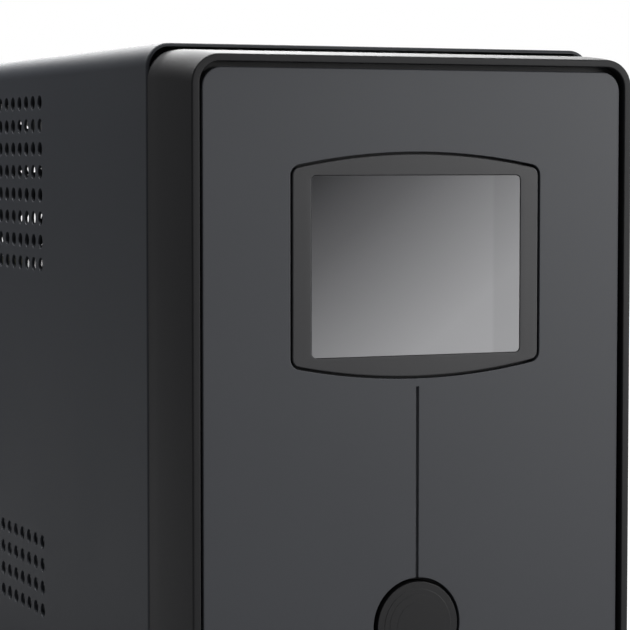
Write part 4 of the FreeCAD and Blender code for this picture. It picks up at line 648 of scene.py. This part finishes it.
def displayFrame(size):
    front, back = plateSizes["front"], plateSizes["back"]
    surround = barrelBlock("displayFrame", -plateSizes["displayGap"], front, back, 1.8)
    pick(surround, "EDGE", sharpAt(front))
    roundPicked(0.3, 3)
    reach, rise = size["width"] / 2, size["height"] / 2
    seat = roundedBlock("cutter", (-reach, front - 1, displayMiddle - rise),
                        (reach, size["lensBack"], displayMiddle + rise), size["corner"], 6)
    window = addBlock("cutter", (-reach + size["ledge"], -199, displayMiddle - rise + size["ledge"]),
                      (reach - size["ledge"], -190, displayMiddle + rise - size["ledge"]))
    cutAway(surround, seat, window)
    soften(surround, 0.18, 2, 50)
    return finishPiece(surround, "root", finishes["display_plastic"], "display_plastic", "lcd_bezel")


def displayLens(size):
    reach, rise = size["width"] / 2 - 0.1, size["height"] / 2 - 0.1
    lens = roundedBlock("displayLens", (-reach, size["lensFront"], displayMiddle - rise),
                        (reach, size["lensBack"], displayMiddle + rise), size["corner"] - 0.1, 6)
    pick(lens, "EDGE", sharpAt(size["lensFront"]))
    roundPicked(0.15, 2)
    return finishPiece(lens, "root", finishes["lens_clear"], "lens_clear", "lcd_lens")


buttonSizes = dict(radius=12.8, front=-197.9, flangeFront=-191.2, flange=15.2, flangeThick=1.5, wall=10.8,
                   faceBack=-195.9, stem=1.5, stemEnd=-189.15, edge=0.8)


def powerButton(size):
    cap = addRod("powerButtonCap", size["radius"], (0, buttonHeight), size["front"],
                 size["flangeFront"] - size["front"], 96)
    pick(cap, "FACE", facing((0, -1, 0), size["front"]))
    setIn(2.2)
    for inset, lift in ((1.6, 0.12), (2.4, 0.08), (2.8, 0.05)):
        drawOut((0, -lift, 0))
        setIn(inset)
    pick(cap, "EDGE", sharpAt(size["front"], least=1.2))
    roundPicked(size["edge"], 5)
    pick(cap, "FACE", facing((0, 1, 0), size["flangeFront"]))
    drawOut((0, 0, 0))
    wider = size["flange"] / size["radius"]
    stretch((wider, 1, wider), (0, 0, buttonHeight))
    drawOut((0, size["flangeThick"], 0))
    setIn(size["flange"] - size["wall"])
    drawOut((0, size["faceBack"] - size["flangeFront"] - size["flangeThick"], 0))
    setIn(size["wall"] - size["stem"])
    drawOut((0, size["stemEnd"] - size["faceBack"], 0))
    bpy.ops.mesh.select_all(action="SELECT")
    bpy.ops.mesh.normals_make_consistent(inside=False)
    return finishPiece(cap, "button", finishes["button_plastic"], "button_plastic", "power_button")


springSizes = dict(start=-195.9, end=-182.1, turns=5, radius=6, wire=0.35)


def returnSpring(size):
    start, end, wire = size["start"], size["end"], size["wire"]
    length = end - start
    pickObject(None)
    bpy.ops.mesh.primitive_circle_add(vertices=10, radius=wire * mm, fill_type="NOTHING",
                                      location=(0, (start + wire) * mm, buttonHeight * mm))
    coil = bpy.context.active_object
    coil.name = "returnSpring"
    bpy.ops.object.mode_set(mode="EDIT")
    bpy.ops.transform.translate(value=(size["radius"] * mm, 0, 0))
    pitch = (length - 2 * wire) / size["turns"] * mm
    applied(coil, "SCREW", axis="Y", iterations=size["turns"], angle=2 * math.pi, steps=32, render_steps=32,
            screw_offset=pitch, use_normal_calculate=True)
    settle(coil)
    pick(coil, "EDGE", lambda e: e.is_boundary)
    bpy.ops.mesh.edge_face_add()
    bpy.ops.mesh.select_all(action="SELECT")
    bpy.ops.mesh.normals_make_consistent(inside=False)
    finishPiece(coil, "root", finishes["zinc_steel"], "zinc_steel", "button_spring")
    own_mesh(coil)
    return coil


frontBezel(bezelSizes)
frontPlate(plateSizes)
displayFrame(screenSizes)
displayLens(screenSizes)
powerButton(buttonSizes)
returnSpring(springSizes)
print("front modelled")


# the folded casing
coverSizes = dict(front=-168.5, half=73, top=205, bend=7, rolled=0.8, edge=0.16)


def foldedCover(size):
    # the sheet's outer front edge is rolled over, and its other edges are broken
    cover = mergedCopy("cover_shell", "coverShell")
    bendX, bendZ = size["half"] - size["bend"], size["top"] - size["bend"]
    isFront = sharpAt(size["front"])

    def isOuterFront(edge):
        spot = (edge.verts[0].co + edge.verts[1].co) / 2 / mm
        overX, overZ = max(abs(spot.x) - bendX, 0), max(spot.z - bendZ, 0)
        return isFront(edge) and math.hypot(overX, overZ) > size["bend"] - 0.3
    pick(cover, "EDGE", isOuterFront)
    roundPicked(size["rolled"], 4, clamp=False)
    bpy.ops.object.mode_set(mode="OBJECT")
    soften(cover, size["edge"], 2)
    return finishPiece(cover, "root", finishes["case_steel"], "case_steel", "cover_shell")


foldedCover(coverSizes)
for node, name in (("rear_panel", "rearPanel"), ("base_chassis", "baseChassis")):
    finishPiece(refined(node, name, coverSizes["edge"]), "root", finishes["case_steel"], "case_steel", node)
print("casing edges broken")


# the rear
outletSizes = dict(half=24, round=3, face=191.5, front=194, barrel=22, barrelBack=168.5, recess=19.6,
                   floor=176.5, pinHole=2.6, pinSide=9.5, pinDepth=7, entry=0.9, rimStep=0.35, edge=0.6,
                   ribMiddle=18.9, ribHalf=(1.1, 2.2),
                   spots=((-28, 37), (28, 37), (-28, 89), (28, 89)))


def outlet(size):
    # one outlet about the Y axis, copied to the four places afterwards
    model = roundedBlock("outletModel", (-size["half"], size["face"], -size["half"]),
                         (size["half"], size["front"], size["half"]), size["round"], 6)
    pick(model, "FACE", facing((0, 1, 0), size["front"]))
    setIn(1.4)
    drawOut((0, -size["rimStep"], 0))
    setIn(0.5)
    drawOut((0, size["rimStep"], 0))
    atFront = sharpAt(size["front"])

    def isRim(edge):
        spot = edge.verts[0].co
        return atFront(edge) and max(abs(spot.x), abs(spot.z)) > (size["half"] - 1) * mm
    pick(model, "EDGE", isRim)
    roundPicked(size["edge"], 3)
    barrelLong = size["face"] - size["barrelBack"] + 1
    barrel = addRod("cutter", size["barrel"], (0, 0), size["barrelBack"], barrelLong, 96)
    cutAway(model, barrel, how="UNION")
    recess = addRod("cutter", size["recess"], (0, 0), size["floor"], 22, 96)
    entry = addRod("cutter", size["recess"] - 0.2, (0, 0), size["front"] - size["entry"], size["entry"] + 0.1,
                   96, radiusEnd=size["recess"] + size["entry"])
    cutAway(model, recess, entry)
    ribX, ribZ = size["ribHalf"]
    middles = [side * size["ribMiddle"] for side in (-1, 1)]
    ribs = [addBlock("rib", (x - ribX, size["floor"] - 1, -ribZ), (x + ribX, size["front"] - 3, ribZ))
            for x in middles]
    cutAway(model, *ribs, how="UNION")
    for side in (-1, 1):
        pin = (side * size["pinSide"], 0)
        hole = addRod("cutter", size["pinHole"], pin, size["floor"] - size["pinDepth"], 8, 32)
        mouth = addRod("cutter", size["pinHole"], pin, size["floor"] - 0.8, 0.9, 32,
                       radiusEnd=size["pinHole"] + 0.8)
        cutAway(model, hole, mouth)
    soften(model, 0.25, 2, 40)
    for number, (x, z) in enumerate(size["spots"], start=1):
        twin = copied(model, "outlet" + str(number), (x, 0, z))
        finishPiece(twin, "root", finishes["socket_plastic"], "socket_plastic", "socket_" + str(number))
    bpy.data.objects.remove(model, do_unlink=True)


guardSizes = dict(centre=(-24, 157), bore=38, wire=0.85, ringY=194.2, spokeY=193.25,
                  shares=(0.3, 0.5, 0.7, 0.9), hub=5.4, hubBack=192.4, hubThick=1.7, spokeStart=2.5,
                  screwSide=35.75, eye=3.0)


def addWireRing(name, radius, wire, place, segments=72):
    pickObject(None)
    bpy.ops.mesh.primitive_torus_add(major_radius=radius * mm, minor_radius=wire * mm,
                                     major_segments=segments, minor_segments=12,
                                     location=[v * mm for v in place], rotation=(math.pi / 2, 0, 0))
    piece = bpy.context.active_object
    piece.name = name
    return settle(piece)


def fanGuard(size):
    x, z = size["centre"]
    wires = [addWireRing("ring", size["bore"] * share, size["wire"], (x, size["ringY"], z))
             for share in size["shares"]]
    diagonal = size["screwSide"] * math.sqrt(2)
    for index in range(4):
        spoke = addRod("spoke", size["wire"], (0, 0), size["spokeStart"],
                       diagonal - size["eye"] - size["spokeStart"], 16, "X")
        spoke.rotation_euler = (0, math.radians(45 + 90 * index), 0)
        spoke.location = (x * mm, size["spokeY"] * mm, z * mm)
        wires.append(settle(spoke))
        cornerX = x + size["screwSide"] * (1 if index in (0, 3) else -1)
        cornerZ = z + size["screwSide"] * (1 if index in (0, 1) else -1)
        wires.append(addWireRing("eye", size["eye"], size["wire"], (cornerX, size["spokeY"], cornerZ), 40))
    disc = addRod("hubDisc", size["hub"], (x, z), size["hubBack"], size["hubThick"], 48)
    pick(disc, "FACE", facing((0, 1, 0), size["hubBack"] + size["hubThick"]))
    setIn(1.2)
    drawOut((0, 0.5, 0))
    soften(disc, 0.3, 3, 40)
    guard = joined("fanGuardWires", [disc] + wires)
    return finishPiece(guard, "root", finishes["screw_steel"], "screw_steel", "fan_guard")


screwSizes = dict(head=2.9, height=1.6, shank=1.45, slotWide=0.62, slotLong=3.3, slotDeep=0.95, crown=0.95,
                  point=0.3, fanShank=9.2, coverShank=2.1, fanSeat=194.2, coverSeat=73,
                  coverSpots=((-140.5, 12), (116.8, 12), (186.5, 45.7), (186.5, 189.9)))


def screwModel(size, shankLength, name):
    # a pan head with a cross recess, head up along +Y with its seat at zero
    head = addRod(name, size["head"], (0, 0), 0, size["height"], 40)
    pick(head, "EDGE", sharpAt(size["height"]))
    roundPicked(size["crown"], 5)
    long, wide = size["slotLong"] / 2, size["slotWide"] / 2
    cross = [addBlock("cutter", (-a, size["height"] - size["slotDeep"], -b), (a, 3, b))
             for a, b in ((long, wide), (wide, long))]
    cutAway(head, *cross)
    shank = addRod("shank", size["shank"], (0, 0), -shankLength, shankLength + 0.2, 24)
    pick(shank, "FACE", facing((0, -1, 0), -shankLength))
    setIn(0.45)
    for vertex in bmesh.from_edit_mesh(shank.data).verts:
        if vertex.select:
            vertex.co.y -= size["point"] * mm
    bpy.ops.object.mode_set(mode="OBJECT")
    cutAway(head, shank, how="UNION")
    soften(head, 0.09, 1, 50)
    return head


def placedScrews(name, model, spots, node):
    # each spot is the seat's place and the way that the head looks: "+X", "-X" or "+Y"
    turns = {"+X": -math.pi / 2, "-X": math.pi / 2, "+Y": 0}
    screws = []
    for x, y, z, way in spots:
        twin = copied(model, "screw", (0, 0, 0))
        # each screw at the rear stands with its slots turned its own way
        twin.rotation_euler = (0, 0.3 * (x + z) if way == "+Y" else 0, turns[way])
        twin.location = (x * mm, y * mm, z * mm)
        screws.append(settle(twin))
    whole = joined(name, screws)
    bpy.data.objects.remove(model, do_unlink=True)
    return finishPiece(whole, "root", finishes["screw_steel"], "screw_steel", node)


def allScrews(size):
    fanX, fanZ = guardSizes["centre"]
    reach = guardSizes["screwSide"]
    fanSpots = [(fanX + reach * a, size["fanSeat"], fanZ + reach * b, "+Y") for a in (-1, 1) for b in (-1, 1)]
    placedScrews("fanScrewHeads", screwModel(size, size["fanShank"], "fanScrewModel"), fanSpots, "fan_screws")
    coverSpots = [(side * size["coverSeat"], y, z, "+X" if side > 0 else "-X") for side in (-1, 1)
                  for y, z in size["coverSpots"]]
    placedScrews("coverScrewHeads", screwModel(size, size["coverShank"], "coverScrewModel"), coverSpots,
                 "cover_screws")


footSizes = dict(low=8.1, high=9, tall=5, plug=2.85, plugTop=6, cup=2.6, cupDeep=1.1, edge=0.7,
                 spots=((-53, -140.5), (53, -140.5), (-53, 162.5), (53, 162.5)))


def rubberFeet(size):
    model = addRod("footModel", size["low"], (0, 0), 0, size["tall"], 64, "Z", size["high"])
    pick(model, "FACE", facing((0, 0, -1), 0, 2))
    setIn(size["cup"])
    drawOut((0, 0, size["cupDeep"]))
    setIn(2.2)
    pick(model, "EDGE", sharpAt(0, 2))
    roundPicked(size["edge"], 3)
    pick(model, "FACE", facing((0, 0, 1), size["tall"], 2))
    setIn(size["high"] - size["plug"])
    drawOut((0, 0, size["plugTop"] - size["tall"]))
    soften(model, 0.2, 2, 50)
    feet = [copied(model, "foot", (x, y, 0)) for x, y in size["spots"]]
    bpy.data.objects.remove(model, do_unlink=True)
    whole = joined("rubberFeet", feet)
    return finishPiece(whole, "root", finishes["foot_rubber"], "foot_rubber", "rubber_feet")


outlet(outletSizes)
fanGuard(guardSizes)
allScrews(screwSizes)
rubberFeet(footSizes)
# shapes that the CAD already has in full, with their edges broken: name, edge width, body and slot
fittings = {"inlet_housing": ("mainsInlet", 0.3, "root", "socket_plastic"),
            "breaker_nut": ("breakerNut", 0.35, "root", "zinc_steel"),
            "breaker_body": ("breakerBody", 0.25, "root", "component_plastic"),
            "phone_ports": ("phonePorts", 0.2, "root", "socket_plastic"),
            "usb_port": ("dataPort", 0.15, "root", "zinc_steel"),
            "inlet_pins": ("inletBlades", 0.3, "root", "zinc_steel"),
            "fan_frame": ("fanFrame", 0.35, "root", "fan_plastic"),
            "fan_rotor": ("fanRotor", 0.2, "fan", "fan_plastic"),
            "breaker_reset_button": ("resetButton", 0.1, "reset", "button_plastic")}
for node, (name, width, body, slot) in fittings.items():
    finishPiece(refined(node, name, width, 2), body, finishes[slot], slot, node)
print("rear and feet modelled")


# floor, light and camera
studio = dict(floorSize=8, floorHeight=-0.0002, floorColour=(0.26, 0.26, 0.265, 1), floorGlow=0.05,
              floorForView=0.9, skyForView=1.0, skyForLight=0.08)


def plainFloor():
    pickObject(None)
    bpy.ops.mesh.primitive_plane_add(size=studio["floorSize"], location=(0, 0, studio["floorHeight"]))
    floor = bpy.context.active_object
    floor.name = "studioFloor"
    paper = bpy.data.materials.new("studioPaper")
    paper.use_nodes = True
    shader = paper.node_tree.nodes["Principled BSDF"]
    shader.inputs["Base Color"].default_value = studio["floorColour"]
    shader.inputs["Roughness"].default_value = 0.9
    shader.inputs["Emission Color"].default_value = (1, 1, 1, 1)
    path = addNode(paper.node_tree, "ShaderNodeLightPath")
    seen = mathNode(paper.node_tree, "MULTIPLY", path.outputs["Is Camera Ray"], studio["floorForView"])
    paper.node_tree.links.new(mathNode(paper.node_tree, "ADD", seen, studio["floorGlow"]),
                              shader.inputs["Emission Strength"])
    floor.data.materials.append(paper)


def softLight(name, place, target, size, power):
    lamp = bpy.data.lights.new(name, "AREA")
    lamp.shape = "RECTANGLE"
    lamp.size, lamp.size_y = size
    lamp.energy = power
    holder = bpy.data.objects.new(name, lamp)
    bpy.context.scene.collection.objects.link(holder)
    holder.location = place
    holder.rotation_euler = (Vector(target) - Vector(place)).to_track_quat("-Z", "Y").to_euler()


def studioWorld():
    world = bpy.data.worlds.new("studioSky")
    bpy.context.scene.world = world
    world.use_nodes = True
    tree = world.node_tree
    tree.nodes.clear()
    out = addNode(tree, "ShaderNodeOutputWorld")
    seen = addNode(tree, "ShaderNodeBackground")
    seen.inputs["Strength"].default_value = studio["skyForView"]
    seen.inputs["Color"].default_value = (1, 1, 1, 1)
    felt = addNode(tree, "ShaderNodeBackground")
    felt.inputs["Strength"].default_value = studio["skyForLight"]
    felt.inputs["Color"].default_value = (0.97, 0.98, 1, 1)
    path = addNode(tree, "ShaderNodeLightPath")
    mix = addNode(tree, "ShaderNodeMixShader")
    tree.links.new(path.outputs["Is Camera Ray"], mix.inputs[0])
    tree.links.new(felt.outputs[0], mix.inputs[1])
    tree.links.new(seen.outputs[0], mix.inputs[2])
    tree.links.new(mix.outputs[0], out.inputs["Surface"])


mainCamera = dict(lens=144.7, sensor=36, place=(-0.3185, -0.8596, 0.1710), yaw=23.357, dip=3.489)


def placeCamera(setting):
    view = bpy.data.cameras.new("mainView")
    view.lens = setting["lens"]
    view.sensor_width = setting["sensor"]
    view.clip_start = 0.01
    view.clip_end = 50
    holder = bpy.data.objects.new("mainView", view)
    bpy.context.scene.collection.objects.link(holder)
    yaw, dip = math.radians(setting["yaw"]), math.radians(setting["dip"])
    holder.location = setting["place"]
    forward = Vector((math.sin(yaw) * math.cos(dip), math.cos(yaw) * math.cos(dip), -math.sin(dip)))
    holder.rotation_euler = forward.to_track_quat("-Z", "Y").to_euler()
    bpy.context.scene.camera = holder


plainFloor()
studioWorld()
softLight("overheadBox", (0, -0.1, 1.5), (0, 0, 0.1), (1.6, 1.6), 13)
softLight("frontRightBox", (1.15, -1.25, 0.42), (0, -0.2, 0.12), (0.9, 0.8), 13.2)
softLight("leftCard", (-0.15, 0.03, 0.5), (-0.075, 0.03, 0.2), (0.1, 0.4), 1.7)
softLight("backCard", (0.55, 2.3, 1.15), (0, 0, 0.2), (1.7, 0.7), 12)
softLight("rearBox", (0.5, 1.6, 0.9), (0, 0.2, 0.1), (1.1, 1.1), 20)
placeCamera(mainCamera)
bpy.context.scene.view_settings.view_transform = "Standard"
print("studio ready")
